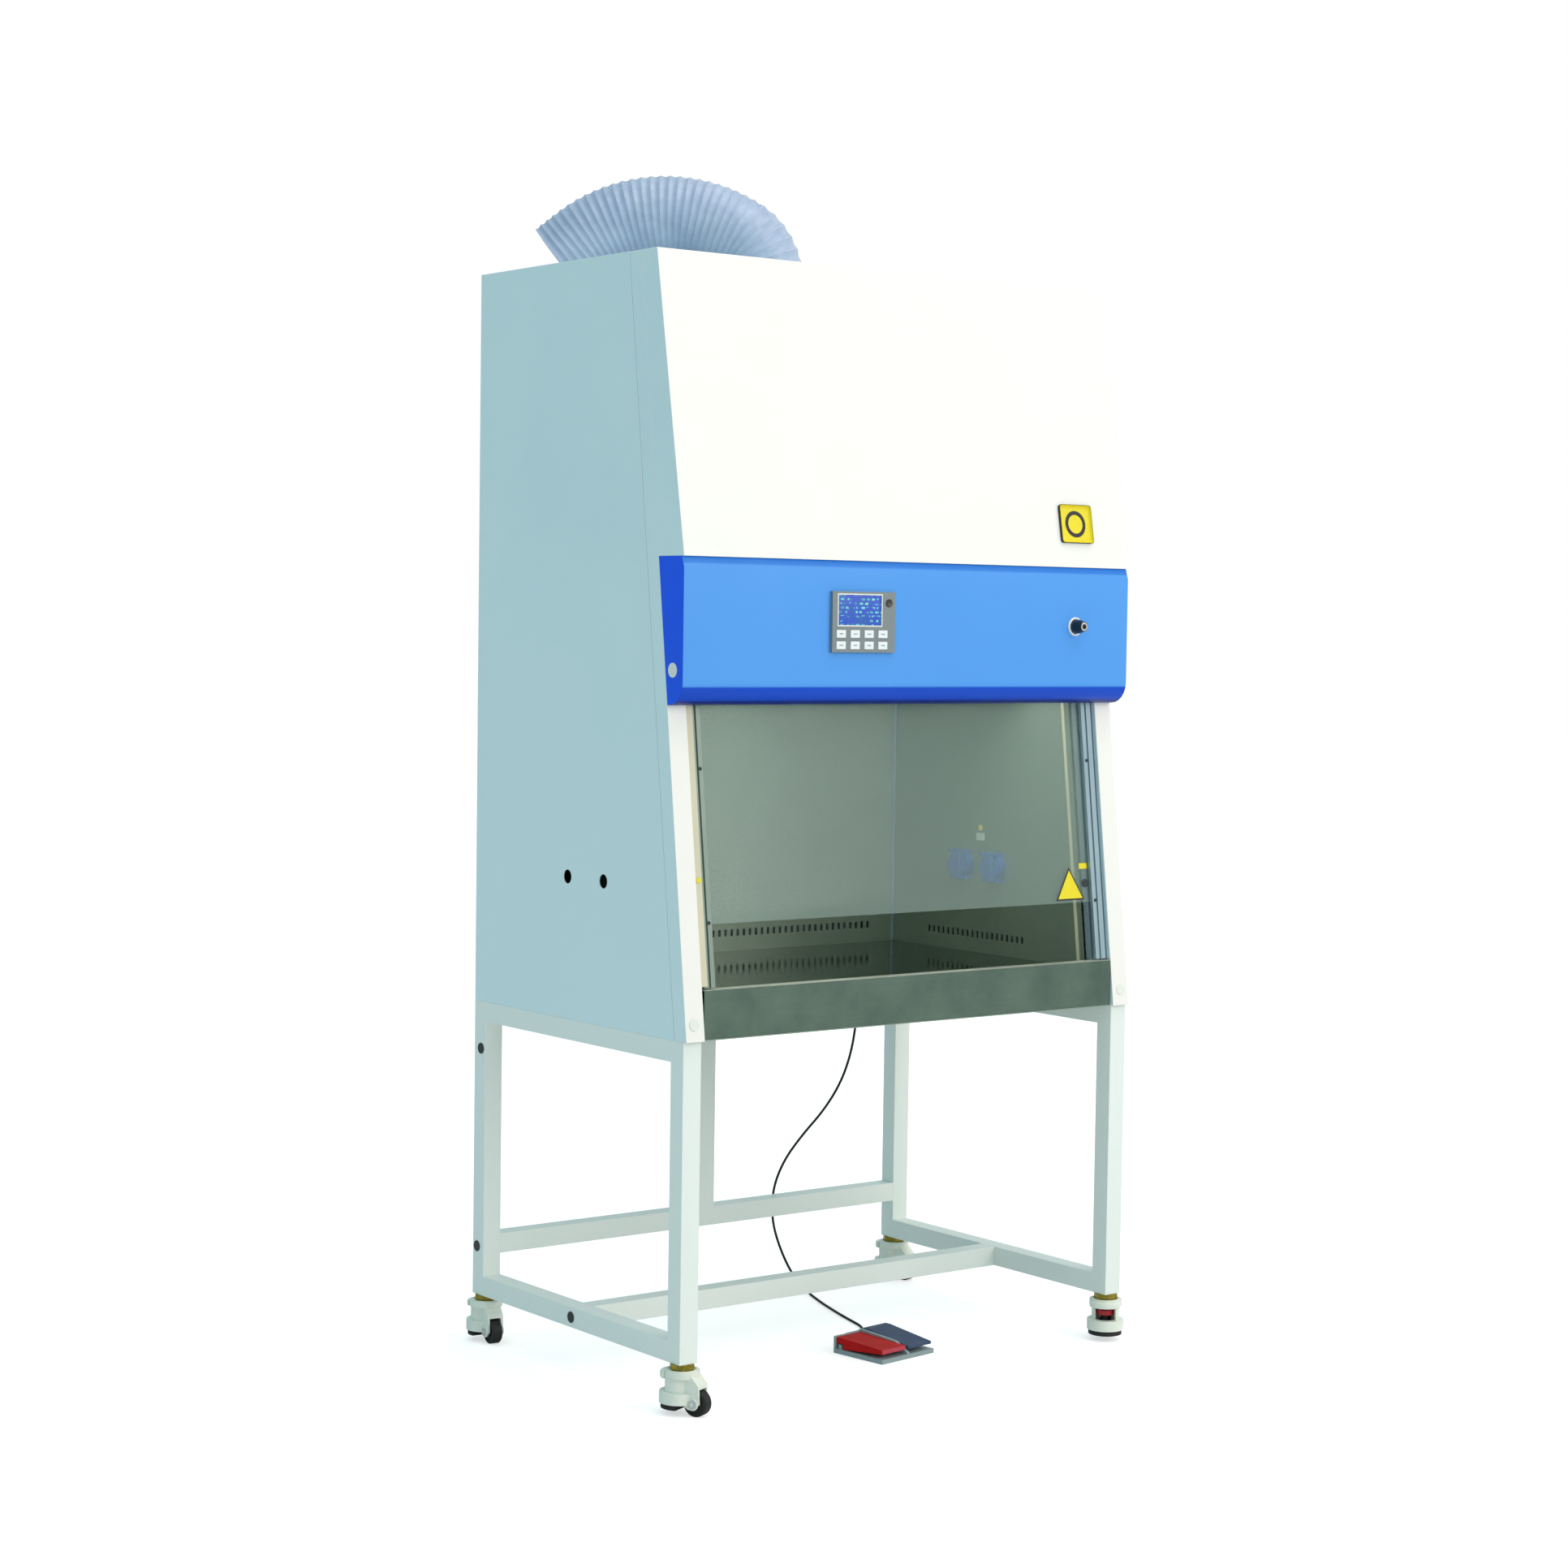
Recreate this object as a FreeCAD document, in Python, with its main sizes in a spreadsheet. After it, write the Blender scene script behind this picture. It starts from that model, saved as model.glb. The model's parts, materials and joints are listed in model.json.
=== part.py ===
"""Ducted safety cabinet (fume hood) on a caster stand, with exhaust hose and foot switch.

Axes: X across the cabinet, Y from front to back, Z up from the floor. Millimetres.
Each named solid is one piece of the real object; every size below sits in the sheet.
"""
import FreeCAD, Part
import math
import os
import Sketcher

os.makedirs("parts", exist_ok=True)
doc = FreeCAD.newDocument("fume_hood")
Vector = FreeCAD.Vector
sheet = doc.addObject("Spreadsheet::Sheet", "sizes")


class Size:
    """A length or number that keeps its sheet expression and its value together."""

    def __init__(self, text, value):
        self.text = text
        self.value = value

    def __add__(self, other):
        other = as_size(other)
        return Size(f"({self.text} + {other.text})", self.value + other.value)

    def __sub__(self, other):
        other = as_size(other)
        return Size(f"({self.text} - {other.text})", self.value - other.value)

    def __mul__(self, other):
        other = as_size(other)
        return Size(f"({self.text} * {other.text})", self.value * other.value)

    def __truediv__(self, other):
        other = as_size(other)
        return Size(f"({self.text} / {other.text})", self.value / other.value)

    def __radd__(self, other):
        return as_size(other) + self

    def __rsub__(self, other):
        return as_size(other) - self

    def __rmul__(self, other):
        return as_size(other) * self

    def __neg__(self):
        return Size(f"(0 - {self.text})", -self.value)


def as_size(number):
    if isinstance(number, Size):
        return number
    return Size(f"({number!r})", float(number))


def size(name, value):
    """Put one driving size in the sheet and hand it back for use in formulas."""
    size.row += 1
    sheet.set(f"A{size.row}", name)
    sheet.set(f"B{size.row}", str(value))
    sheet.setAlias(f"B{size.row}", name)
    return Size(f"sizes.{name}", float(value))


size.row = 0

# ---- Overall sizes ----
origin_x = size("origin_x", -4.3695)
origin_y = size("origin_y", -416.3208)
cab_width = size("cab_width", 1100)
cab_depth = size("cab_depth", 730)
cab_top = size("cab_top", 2138)
stand_top = size("stand_top", 690)
half = cab_width / 2
lean = size("lean", 0.1206)
foot_setback = size("foot_setback", -9)
skin = size("skin", 2)
gap = size("gap", 0.3)
running = size("running", 0.05)

# ---- Front of the cabinet ----
column_width = size("column_width", 42)
column_depth = size("column_depth", 38)
seam = size("seam", 1)
cover_tall = size("cover_tall", 563)
cover_low = cab_top - cover_tall
cover_top_proud = size("cover_top_proud", 51)
control_tall = size("control_tall", 272)
control_low = cover_low - control_tall
control_face = size("control_face", 17)
control_skin = size("control_skin", 3)
apron_tall = size("apron_tall", 93)
apron_top = stand_top + apron_tall
apron_inset = size("apron_inset", 45)
apron_half = half - apron_inset
apron_face = size("apron_face", -1)
apron_flange = size("apron_flange", 25)

# ---- Work chamber ----
chamber_inset = size("chamber_inset", 80)
chamber_half = half - chamber_inset
rear_space = size("rear_space", 75)
chamber_back = cab_depth - rear_space
chamber_tall = size("chamber_tall", 725)
chamber_top = stand_top + chamber_tall
tray_rise = size("tray_rise", 75)
tray_top = stand_top + tray_rise
tray_edge = size("tray_edge", 22)
tray_skirt = size("tray_skirt", 21)
slot_wide = size("slot_wide", 6.5)
slot_tall = size("slot_tall", 14)
slot_pitch = size("slot_pitch", 15.9)
slot_height = tray_top + size("slot_lift", 38)
slot_margin = size("slot_margin", 72.5)
side_slot_run = size("side_slot_run", 425)

# ---- Sash ----
glass_thick = size("glass_thick", 5)
glass_depth = size("glass_depth", 14)
glass_inset = size("glass_inset", 59)
glass_half = half - glass_inset
glass_low = size("glass_low", 213.5)
glass_tall = size("glass_tall", 580)
glass_play = size("glass_play", 1)
guide_inset = size("guide_inset", 76)
guide_inner = half - guide_inset
guide_outer = half - column_width
guide_low = size("guide_low", 97)
guide_top = size("guide_top", 1115)
guide_front = size("guide_front", 5)
guide_back = size("guide_back", 34)

# ---- Filters and blower ----
filter_inset = size("filter_inset", 8)
filter_half = chamber_half - filter_inset
filter_front = size("filter_front", 190)
filter_tall = size("filter_tall", 120)
filter_frame = size("filter_frame", 6)
exhaust_filter_half = size("exhaust_filter_half", 190)
blower_y = size("blower_y", 430)
blower_z = size("blower_z", 1725)
blower_radius = size("blower_radius", 165)
blower_half = size("blower_half", 140)
impeller_radius = size("impeller_radius", 125)
impeller_half = size("impeller_half", 100)
axle_radius = size("axle_radius", 8)

# ---- Exhaust hose ----
hose_inset = size("hose_inset", 197)
hose_y = cab_depth - hose_inset
hose_heading = size("hose_heading", 140)
hose_bore = size("hose_bore", 79.5)
hose_wall = size("hose_wall", 1.5)
hose_rib = size("hose_rib", 2.6)
hose_rise = size("hose_rise", 10)
hose_first_radius = size("hose_first_radius", 104)
hose_first_turn = size("hose_first_turn", 58)
hose_second_radius = size("hose_second_radius", 285)
hose_second_turn = size("hose_second_turn", 70)
hose_cuff = size("hose_cuff", 52)
hose_ribs = size("hose_ribs", 30)

# ---- Stand and casters ----
tube = size("tube", 40)
tube_wall = size("tube_wall", 2)
crossbar_low = size("crossbar_low", 178)
centre_bar_front = size("centre_bar_front", 345)
leg_plug = size("leg_plug", 5)
wheel_radius = size("wheel_radius", 25)
wheel_cover = size("wheel_cover", 20)
head_tall = size("head_tall", 13)
nut_tall = size("nut_tall", 12)
head_low = wheel_radius * 2 + wheel_cover
nut_low = head_low + head_tall
stand_bottom = nut_low + nut_tall
stem_radius = size("stem_radius", 6)
nut_radius = size("nut_radius", 25)
ring_top = size("ring_top", 43)
body_low = size("body_low", 22)
head_radius = size("head_radius", 33)
hub_space = size("hub_space", 9)
trail = wheel_radius + hub_space
wheel_half = size("wheel_half", 11)
bolt_radius = size("bolt_radius", 3.5)
foot_offset = size("foot_offset", 6)
pad_radius = size("pad_radius", 34)
pad_low = size("pad_low", 12)
dial_radius = size("dial_radius", 18)
dial_low = size("dial_low", 52)
body_radius = size("body_radius", 37)
cavity_radius = size("cavity_radius", 22)
fork_half = size("fork_half", 17)

# ---- Controls ----
keypad_x = size("keypad_x", -137.5)
keypad_wide = size("keypad_wide", 151)
keypad_low = control_low + size("keypad_lift", 99)
keypad_tall = size("keypad_tall", 115)
keypad_thick = size("keypad_thick", 7)
key_wide = size("key_wide", 22)
key_tall = size("key_tall", 15)
key_deep = size("key_deep", 5)
key_pocket = size("key_pocket", 5.5)
key_proud = size("key_proud", 1.5)
screen_wide = size("screen_wide", 104)
screen_tall = size("screen_tall", 58)
lock_inset = size("lock_inset", 143)
lock_x = half - lock_inset
lock_z = control_low + size("lock_lift", 154)
lock_radius = size("lock_radius", 14)
service_radius = size("service_radius", 13.5)

# ---- Sockets ----
socket_rear_y = size("socket_rear_y", 419)
socket_front_y = size("socket_front_y", 316.5)
socket_z = tray_top + size("socket_lift", 185)
socket_radius = size("socket_radius", 31)
socket_deep = size("socket_deep", 18)
recess_radius = size("recess_radius", 19.5)
recess_deep = size("recess_deep", 12)
lid_thick = size("lid_thick", 5)

# ---- Foot switch and cord ----
switch_x = size("switch_x", 72.5)
switch_y = size("switch_y", 175)
switch_turn = size("switch_turn", 8)
switch_half_x = size("switch_half_x", 75)
switch_half_y = size("switch_half_y", 67)
switch_base = size("switch_base", 9)
cord_radius = size("cord_radius", 2.75)
doc.recompute()

lean_angle = Size("(-1 * atan(sizes.lean))", -math.degrees(math.atan(lean.value)))
AXIS = {"X": Vector(1, 0, 0), "Y": Vector(0, 1, 0), "Z": Vector(0, 0, 1)}
base_of = {}
nodes = []


def front_at(height):
    """Y of the leaning front line at a given height."""
    return foot_setback + lean * (height - stand_top)


def bind(item, path, amount):
    """Tie a property to its formula."""
    item.setExpression(path, as_size(amount).text)


def place(item, position, axis="Z", angle=0):
    """Give an object its position and turn, each tied to its formula."""
    values = [as_size(part) for part in position]
    turn = as_size(angle)
    spin = FreeCAD.Rotation(AXIS[axis], turn.value)
    item.Placement = FreeCAD.Placement(Vector(*[part.value for part in values]), spin)
    for letter, part in zip("xyz", values):
        bind(item, f"Placement.Base.{letter}", part)
    if isinstance(angle, Size):
        bind(item, "Placement.Rotation.Angle", turn)
    base_of[item.Name] = values
    return item


def box(name, across, along, up):
    """A block given by its two limits on each axis."""
    item = doc.addObject("Part::Box", name)
    for field, (low, high) in zip(("Length", "Width", "Height"), (across, along, up)):
        extent = as_size(high) - low
        setattr(item, field, extent.value)
        bind(item, field, extent)
    return place(item, (across[0], along[0], up[0]))


def rod(name, start, radius, length, axis="Z"):
    """A cylinder from a start point along one axis."""
    item = doc.addObject("Part::Cylinder", name)
    for field, amount in (("Radius", as_size(radius)), ("Height", as_size(length))):
        setattr(item, field, amount.value)
        bind(item, field, amount)
    turned = {"Z": ("Z", 0), "X": ("Y", 90), "Y": ("X", -90)}[axis]
    return place(item, start, *turned)


def sketch_loop(body, plane, points):
    """A closed outline whose corners are tied to their formulas."""
    sketch = body.newObject("Sketcher::SketchObject", body.Name + "_outline")
    origin = [item for item in body.Origin.OriginFeatures if item.Role == plane][0]
    sketch.AttachmentSupport = [(origin, "")]
    sketch.MapMode = "FlatFace"
    corners = [(as_size(first), as_size(second)) for first, second in points]
    count = len(corners)
    for index in range(count):
        here = corners[index]
        after = corners[(index + 1) % count]
        start = Vector(here[0].value, here[1].value, 0)
        end = Vector(after[0].value, after[1].value, 0)
        sketch.addGeometry(Part.LineSegment(start, end), False)
    for index in range(count):
        sketch.addConstraint(Sketcher.Constraint("Coincident", index, 2, (index + 1) % count, 1))
    for index in range(count):
        for kind, amount in zip(("DistanceX", "DistanceY"), corners[index]):
            rule = Sketcher.Constraint(kind, -1, 1, index, 1, amount.value)
            number = sketch.addConstraint(rule)
            sketch.setExpression(f"Constraints[{number}]", amount.text)
    return sketch


def prism(name, plane, points, start, depth):
    """An outline pushed along the third axis: plane is YZ (along X), XY (along Z) or XZ (along Y)."""
    body = doc.addObject("PartDesign::Body", name)
    sketch = sketch_loop(body, plane + "_Plane", points)
    pad = body.newObject("PartDesign::Pad", name + "_pad")
    pad.Profile = sketch
    pad.Length = as_size(depth).value
    bind(pad, "Length", depth)
    pad.Reversed = plane == "XZ"
    where = {"YZ": (start, 0, 0), "XY": (0, 0, start), "XZ": (0, start, 0)}[plane]
    return place(body, where)


def lathe(name, points):
    """A radius-and-height outline turned about the upright axis."""
    body = doc.addObject("PartDesign::Body", name)
    sketch = sketch_loop(body, "XZ_Plane", points)
    turn = body.newObject("PartDesign::Revolution", name + "_turn")
    turn.Profile = sketch
    turn.ReferenceAxis = (sketch, ["V_Axis"])
    turn.Angle = 360
    return place(body, (0, 0, 0))


def fuse(name, items):
    joined = doc.addObject("Part::MultiFuse", name)
    joined.Shapes = items
    joined.Refine = True
    return place(joined, (0, 0, 0))


def cut(name, base, tools):
    tool = tools[0] if len(tools) == 1 else fuse(name + "_tools", tools)
    taken = doc.addObject("Part::Cut", name)
    taken.Base = base
    taken.Tool = tool
    return place(taken, (0, 0, 0))


def group(name, items):
    """Separate solids kept together in one piece list entry."""
    joined = doc.addObject("Part::Compound", name)
    joined.Links = items
    return place(joined, (0, 0, 0))


def moved(name, item, position, axis="Z", angle=0):
    holder = doc.addObject("Part::Compound", name)
    holder.Links = [item]
    return place(holder, position, axis, angle)


def leaned(name, item):
    """Stand a piece drawn upright against the leaning front."""
    return moved(name, item, (0, foot_setback, stand_top), "X", lean_angle)


def node(label, item):
    """Name a finished piece and carry it to the assembly's origin."""
    values = base_of[item.Name]
    bind(item, "Placement.Base.x", values[0] + origin_x)
    bind(item, "Placement.Base.y", values[1] + origin_y)
    item.Label = label
    nodes.append(item)
    return item


def span(side, low, high):
    """The same stretch of X on the left (-1) or the right (+1)."""
    if side > 0:
        return (low, high)
    return (-as_size(high), -as_size(low))


def slot_row(name, fixed, start, count, pitch, axis):
    """A row of upright slots through a wall; fixed gives the wall's own two limits."""
    slots = []
    up = (slot_height - slot_tall / 2, slot_height + slot_tall / 2)
    for index in range(count):
        low = start + pitch * index - slot_wide / 2
        along = (low, low + slot_wide)
        limits = (along, fixed) if axis == "X" else (fixed, along)
        slots.append(box(f"{name}_{index}", limits[0], limits[1], up))
    return group(name, slots)


# ---- Stand: two welded side frames and three cross tubes ----
def hollow(name, across, along, up, axis):
    """A square tube, open at both ends along one axis."""
    limits = dict(zip("XYZ", (across, along, up)))
    inner = {}
    for letter, (low, high) in limits.items():
        inset = 0 if letter == axis else tube_wall
        inner[letter] = (as_size(low) + inset, as_size(high) - inset)
    outside = box(name + "_outside", across, along, up)
    inside = box(name + "_inside", inner["X"], inner["Y"], inner["Z"])
    return cut(name, outside, [inside])


def leg(name, across, along):
    """A leg tube: open at the top, with a plug at the foot drilled for the caster stem."""
    outside = box(name + "_outside", across, along, (stand_bottom, stand_top))
    inside_x = (as_size(across[0]) + tube_wall, as_size(across[1]) - tube_wall)
    inside_y = (as_size(along[0]) + tube_wall, as_size(along[1]) - tube_wall)
    inside = box(name + "_inside", inside_x, inside_y, (stand_bottom + leg_plug, stand_top))
    middle_x = (as_size(across[0]) + across[1]) / 2
    middle_y = (as_size(along[0]) + along[1]) / 2
    drill = rod(name + "_drill", (middle_x, middle_y, stand_bottom), stem_radius + running, leg_plug)
    return cut(name, outside, [inside, drill])


side_frames = []
for side, hand in ((-1, "left"), (1, "right")):
    across = span(side, half - tube, half)
    between = (tube, cab_depth - tube)
    low_rail = (stand_bottom, stand_bottom + tube)
    welded = [leg(f"front_leg_{hand}", across, (0, tube)),
              leg(f"rear_leg_{hand}", across, (cab_depth - tube, cab_depth)),
              hollow(f"top_rail_{hand}", across, between, (stand_top - tube, stand_top), "Y"),
              hollow(f"low_rail_{hand}", across, between, low_rail, "Y")]
    side_frames.append(fuse(f"side_frame_{hand}", welded))
node("stand_side_frames", group("side_frames", side_frames))

rear_y = (cab_depth - tube, cab_depth)
bar_x = (-(half - tube), half - tube)
rear_bar = hollow("rear_bar", bar_x, rear_y, (crossbar_low, crossbar_low + tube), "X")
centre_y = (centre_bar_front, centre_bar_front + tube)
centre_bar = hollow("centre_bar", bar_x, centre_y, (stand_bottom, stand_bottom + tube), "X")
post = hollow("rear_post", (-tube / 2, tube / 2), rear_y, (crossbar_low + tube, stand_top), "Z")
node("stand_crossbars", group("crossbars", [fuse("rear_frame", [rear_bar, post]), centre_bar]))

# ---- Sheet-metal body ----
side_front_low = front_at(stand_top) + column_depth + seam
side_front_top = front_at(cab_top) + column_depth + seam
side_outline = [(side_front_low, stand_top), (cab_depth - skin, stand_top),
                (cab_depth - skin, cab_top), (side_front_top, cab_top)]
service_holes = []
service_lift = size("service_lift", 274.3)
for index, along in enumerate((size("service_rear_y", 393.6), size("service_front_y", 269.8))):
    start = (-half - skin / 2, along, stand_top + service_lift)
    service_holes.append(rod(f"service_hole_{index}", start, service_radius, skin + 2, "X"))
left_plate = prism("left_plate", "YZ", side_outline, -half, skin)
node("side_panel_left", cut("left_skin", left_plate, service_holes))
node("side_panel_right", prism("right_skin", "YZ", side_outline, half - skin, skin))
node("rear_panel", box("rear_skin", (-half, half), (cab_depth - skin, cab_depth), (stand_top, cab_top)))

column_outline = [(front_at(stand_top), stand_top), (front_at(stand_top) + column_depth, stand_top),
                  (front_at(cab_top - skin) + column_depth, cab_top - skin),
                  (front_at(cab_top - skin), cab_top - skin)]
core_outline = [(front_at(stand_top) + skin, stand_top),
                (front_at(stand_top) + column_depth - skin, stand_top),
                (front_at(cab_top - skin) + column_depth - skin, cab_top - skin),
                (front_at(cab_top - skin) + skin, cab_top - skin)]
columns = []
for side, hand in ((-1, "left"), (1, "right")):
    outer = span(side, half - column_width, half)
    inner = span(side, half - column_width + skin, half - skin)
    shell = prism(f"column_{hand}_shell", "YZ", column_outline, outer[0], column_width)
    core = prism(f"column_{hand}_core", "YZ", core_outline, inner[0], column_width - skin * 2)
    columns.append(cut(f"column_{hand}", shell, [core]))
node("front_columns", group("columns", columns))

roof_plate = box("roof_plate", (-half + skin, half - skin), (front_at(cab_top), cab_depth - skin),
                 (cab_top - skin, cab_top))
roof_hole = rod("roof_hole", (0, hose_y, cab_top - skin), hose_bore, skin)
node("top_panel", cut("roof", roof_plate, [roof_hole]))

pan_low = stand_top + skin
pan_back = (side_front_low, cab_depth - skin)
pan_main = box("pan_main", (-half + skin, half - skin), pan_back, (stand_top, pan_low))
pan_nose = box("pan_nose", (-apron_half, apron_half), (apron_face, side_front_low),
               (stand_top, pan_low))
pan_rails = []
for side, hand in ((-1, "left"), (1, "right")):
    rail_x = span(side, chamber_half - tube, chamber_half - tube + skin)
    rail_y = (tray_edge + tube, chamber_back - tube)
    pan_rails.append(box(f"pan_rail_{hand}", rail_x, rail_y, (pan_low, tray_top - control_skin)))
node("base_pan", fuse("pan", [pan_main, pan_nose] + pan_rails))

# ---- Front cover and control housing, each a folded shell open to the back ----
cover_top_y = front_at(cab_top) - cover_top_proud
cover_outline = [(cover_top_y, cab_top), (control_face, cover_low),
                 (front_at(cover_low), cover_low), (front_at(cab_top), cab_top)]
cover_hollow = [(cover_top_y + skin, cab_top - skin), (control_face + skin, cover_low + skin),
                (front_at(cover_low) + skin, cover_low + skin),
                (front_at(cab_top) + skin, cab_top - skin)]
cover_shell = prism("cover_shell", "YZ", cover_outline, -half, cab_width)
cover_core = prism("cover_core", "YZ", cover_hollow, -half + skin, cab_width - skin * 2)
node("front_cover", cut("cover", cover_shell, [cover_core]))

bevel = size("bevel", 7)
bend_radius = size("bend_radius", 42)
bend_steps = 6


def housing_outline(inset):
    """Side view of the control housing: a flat face with a small top bevel and a rounded underside."""
    face = control_face + inset
    top = cover_low - inset
    low = control_low + inset
    radius = bend_radius - inset
    points = [(front_at(top), top), (face + bevel, top), (face, top - bevel * 3)]
    for step in range(bend_steps + 1):
        turn = math.radians(90 * step / bend_steps)
        points.append((face + radius * (1 - math.cos(turn)), low + radius * (1 - math.sin(turn))))
    points.append((front_at(low), low))
    return points


housing_shell = prism("housing_shell", "YZ", housing_outline(0), -half, cab_width)
core_points = housing_outline(control_skin)
core_points[0] = (core_points[0][0] + skin, core_points[0][1])
core_points[-1] = (core_points[-1][0] + skin, core_points[-1][1])
housing_core = prism("housing_core", "YZ", core_points, -half + control_skin,
                     cab_width - control_skin * 2)
keypad_window = box("keypad_window", (keypad_x - keypad_wide / 2 + key_deep,
                                      keypad_x + keypad_wide / 2 - key_deep),
                    (control_face - skin, control_face + control_skin + skin),
                    (keypad_low + key_deep, keypad_low + keypad_tall - key_deep))
lock_bore = rod("lock_bore", (lock_x, control_face - skin, lock_z), bolt_radius * 2 + running,
                control_skin + skin * 2, "Y")
node("control_housing", cut("housing", housing_shell, [housing_core, keypad_window, lock_bore]))

# ---- Keypad: bezel, screen and eight keys ----
keypad_left = keypad_x - keypad_wide / 2
keypad_top = keypad_low + keypad_tall
bezel_front = control_face - keypad_thick
bezel_plate = box("bezel_plate", (keypad_left, keypad_left + keypad_wide), (bezel_front, control_face),
                  (keypad_low, keypad_top))
screen_left = keypad_left + size("screen_inset", 13.5)
screen_top = keypad_top - size("screen_drop", 6)
screen_x = (screen_left, screen_left + screen_wide)
screen_z = (screen_top - screen_tall, screen_top)
pocket_deep = key_deep - skin
screen_pocket = box("screen_pocket", screen_x, (bezel_front, bezel_front + pocket_deep), screen_z)
sensor_radius = size("sensor_radius", 7.5)
sensor_dot = rod("sensor_pocket", (keypad_left + size("sensor_across", 137), bezel_front,
                                   keypad_top - size("sensor_drop", 21)), sensor_radius, skin / 2, "Y")
key_columns = [size(f"key_column_{word}", value) for word, value in
               (("one", 15), ("two", 48.5), ("three", 82), ("four", 115.5))]
key_rows = [size(f"key_row_{word}", value) for word, value in (("upper", 80), ("lower", 101.5))]
pockets = [screen_pocket, sensor_dot]
keys = []
for row, drop in enumerate(key_rows):
    for column, along in enumerate(key_columns):
        middle_x = keypad_left + along + key_wide / 4
        middle_z = keypad_top - drop
        across = (middle_x - key_wide / 2, middle_x + key_wide / 2)
        up = (middle_z - key_tall / 2, middle_z + key_tall / 2)
        wide = (across[0] - gap, across[1] + gap)
        tall = (up[0] - gap, up[1] + gap)
        pockets.append(box(f"key_pocket_{row}{column}", wide, (bezel_front, bezel_front + key_pocket),
                           tall))
        front = bezel_front - key_proud
        keys.append((f"key_{row * len(key_columns) + column + 1}", across, (front, front + key_deep),
                     up))
node("keypad_bezel", cut("bezel", bezel_plate, pockets))
node("display_screen", box("screen", screen_x, (bezel_front + skin / 2, bezel_front + pocket_deep),
                           screen_z))
for label, across, along, up in keys:
    node(label, box(label + "_cap", across, along, up))

# ---- Key switch: barrel that turns in the housing ----
barrel_long = size("barrel_long", 27)
lock_foot = control_skin + skin
lock_end = lock_foot + barrel_long
tip_long = lock_end + control_skin
lock_profile = [(0, 0), (bolt_radius * 2, 0), (bolt_radius * 2, lock_foot + gap),
                (lock_radius, lock_foot + gap), (lock_radius, lock_foot + barrel_long / 2),
                (lock_radius - skin * 2, lock_end), (bolt_radius, lock_end),
                (bolt_radius, tip_long), (0, tip_long)]
lock_body = lathe("lock_body", lock_profile)
lock_turned = moved("lock_turned", lock_body, (0, 0, 0), "X", 90)
key_slot = box("key_slot", (-skin / 2, skin / 2), (-tip_long, skin * 2 - tip_long),
               (-bolt_radius + gap, bolt_radius - gap))
lock_all = cut("lock_all", lock_turned, [key_slot])
node("key_switch", moved("lock", lock_all, (lock_x, control_face + control_skin + skin, lock_z)))

# ---- Apron, guides and sash ----
apron_low = stand_top + skin
lip = control_skin
apron_outline = [(apron_face, apron_low), (apron_face, apron_top), (apron_flange, apron_top),
                 (apron_flange, tray_top + gap), (apron_flange - skin, tray_top + gap),
                 (apron_flange - skin, apron_top - skin), (apron_face + skin, apron_top - skin),
                 (apron_face + skin, apron_low)]
node("front_apron", prism("apron", "YZ", apron_outline, -apron_half, apron_half * 2))

groove = size("groove", 4)
slot_front = glass_depth - glass_play
slot_back = glass_depth + glass_thick + glass_play
slot_end = glass_half + control_skin
guides = []
for side, hand in ((-1, "left"), (1, "right")):
    ridge = guide_outer - tube / 2
    section = [(guide_inner, guide_front), (ridge - groove, guide_front),
               (ridge - groove, guide_front + groove),
               (ridge, guide_front + groove), (ridge, guide_front),
               (guide_outer - groove * 2, guide_front),
               (guide_outer - groove * 2, guide_front + groove),
               (guide_outer - groove, guide_front + groove),
               (guide_outer - groove, guide_front), (guide_outer, guide_front),
               (guide_outer, guide_back),
               (guide_inner, guide_back), (guide_inner, slot_back), (slot_end, slot_back),
               (slot_end, slot_front), (guide_inner, slot_front)]
    section = [(across * side, along) for across, along in section]
    rail = prism(f"guide_{hand}_rail", "XY", section, guide_low, guide_top - guide_low)
    guides.append(leaned(f"guide_{hand}", rail))
node("sash_guides", group("guides", guides))
pane = box("pane", (-glass_half, glass_half), (glass_depth, glass_depth + glass_thick),
           (glass_low, glass_low + glass_tall))
node("sash_glass", leaned("sash", pane))

# ---- Work chamber ----
back_slot_count = 51
side_slot_count = 20
back_plate = box("back_plate", (-chamber_half, chamber_half), (chamber_back, chamber_back + skin),
                 (pan_low, chamber_top))
back_start = slot_margin - chamber_half
back_pitch = -back_start * 2 / (back_slot_count - 1)
back_limits = (chamber_back, chamber_back + skin)
back_slots = slot_row("back_slots", back_limits, back_start, back_slot_count, back_pitch, "X")
node("chamber_back_wall", cut("back_wall", back_plate, [back_slots]))

wall_front = guide_back + groove
wall_outline = [(front_at(pan_low) + wall_front, pan_low), (chamber_back + skin, pan_low),
                (chamber_back + skin, chamber_top), (front_at(chamber_top) + wall_front, chamber_top)]
walls = []
for side, hand in ((-1, "left"), (1, "right")):
    wall_x = span(side, chamber_half, chamber_half + skin)
    plate = prism(f"wall_{hand}_plate", "YZ", wall_outline, wall_x[0], skin)
    slots = slot_row(f"wall_{hand}_slots", wall_x, chamber_back - side_slot_run, side_slot_count,
                     slot_pitch, "Y")
    walls.append(cut(f"wall_{hand}", plate, [slots]))
node("chamber_side_walls", group("walls", walls))

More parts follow.
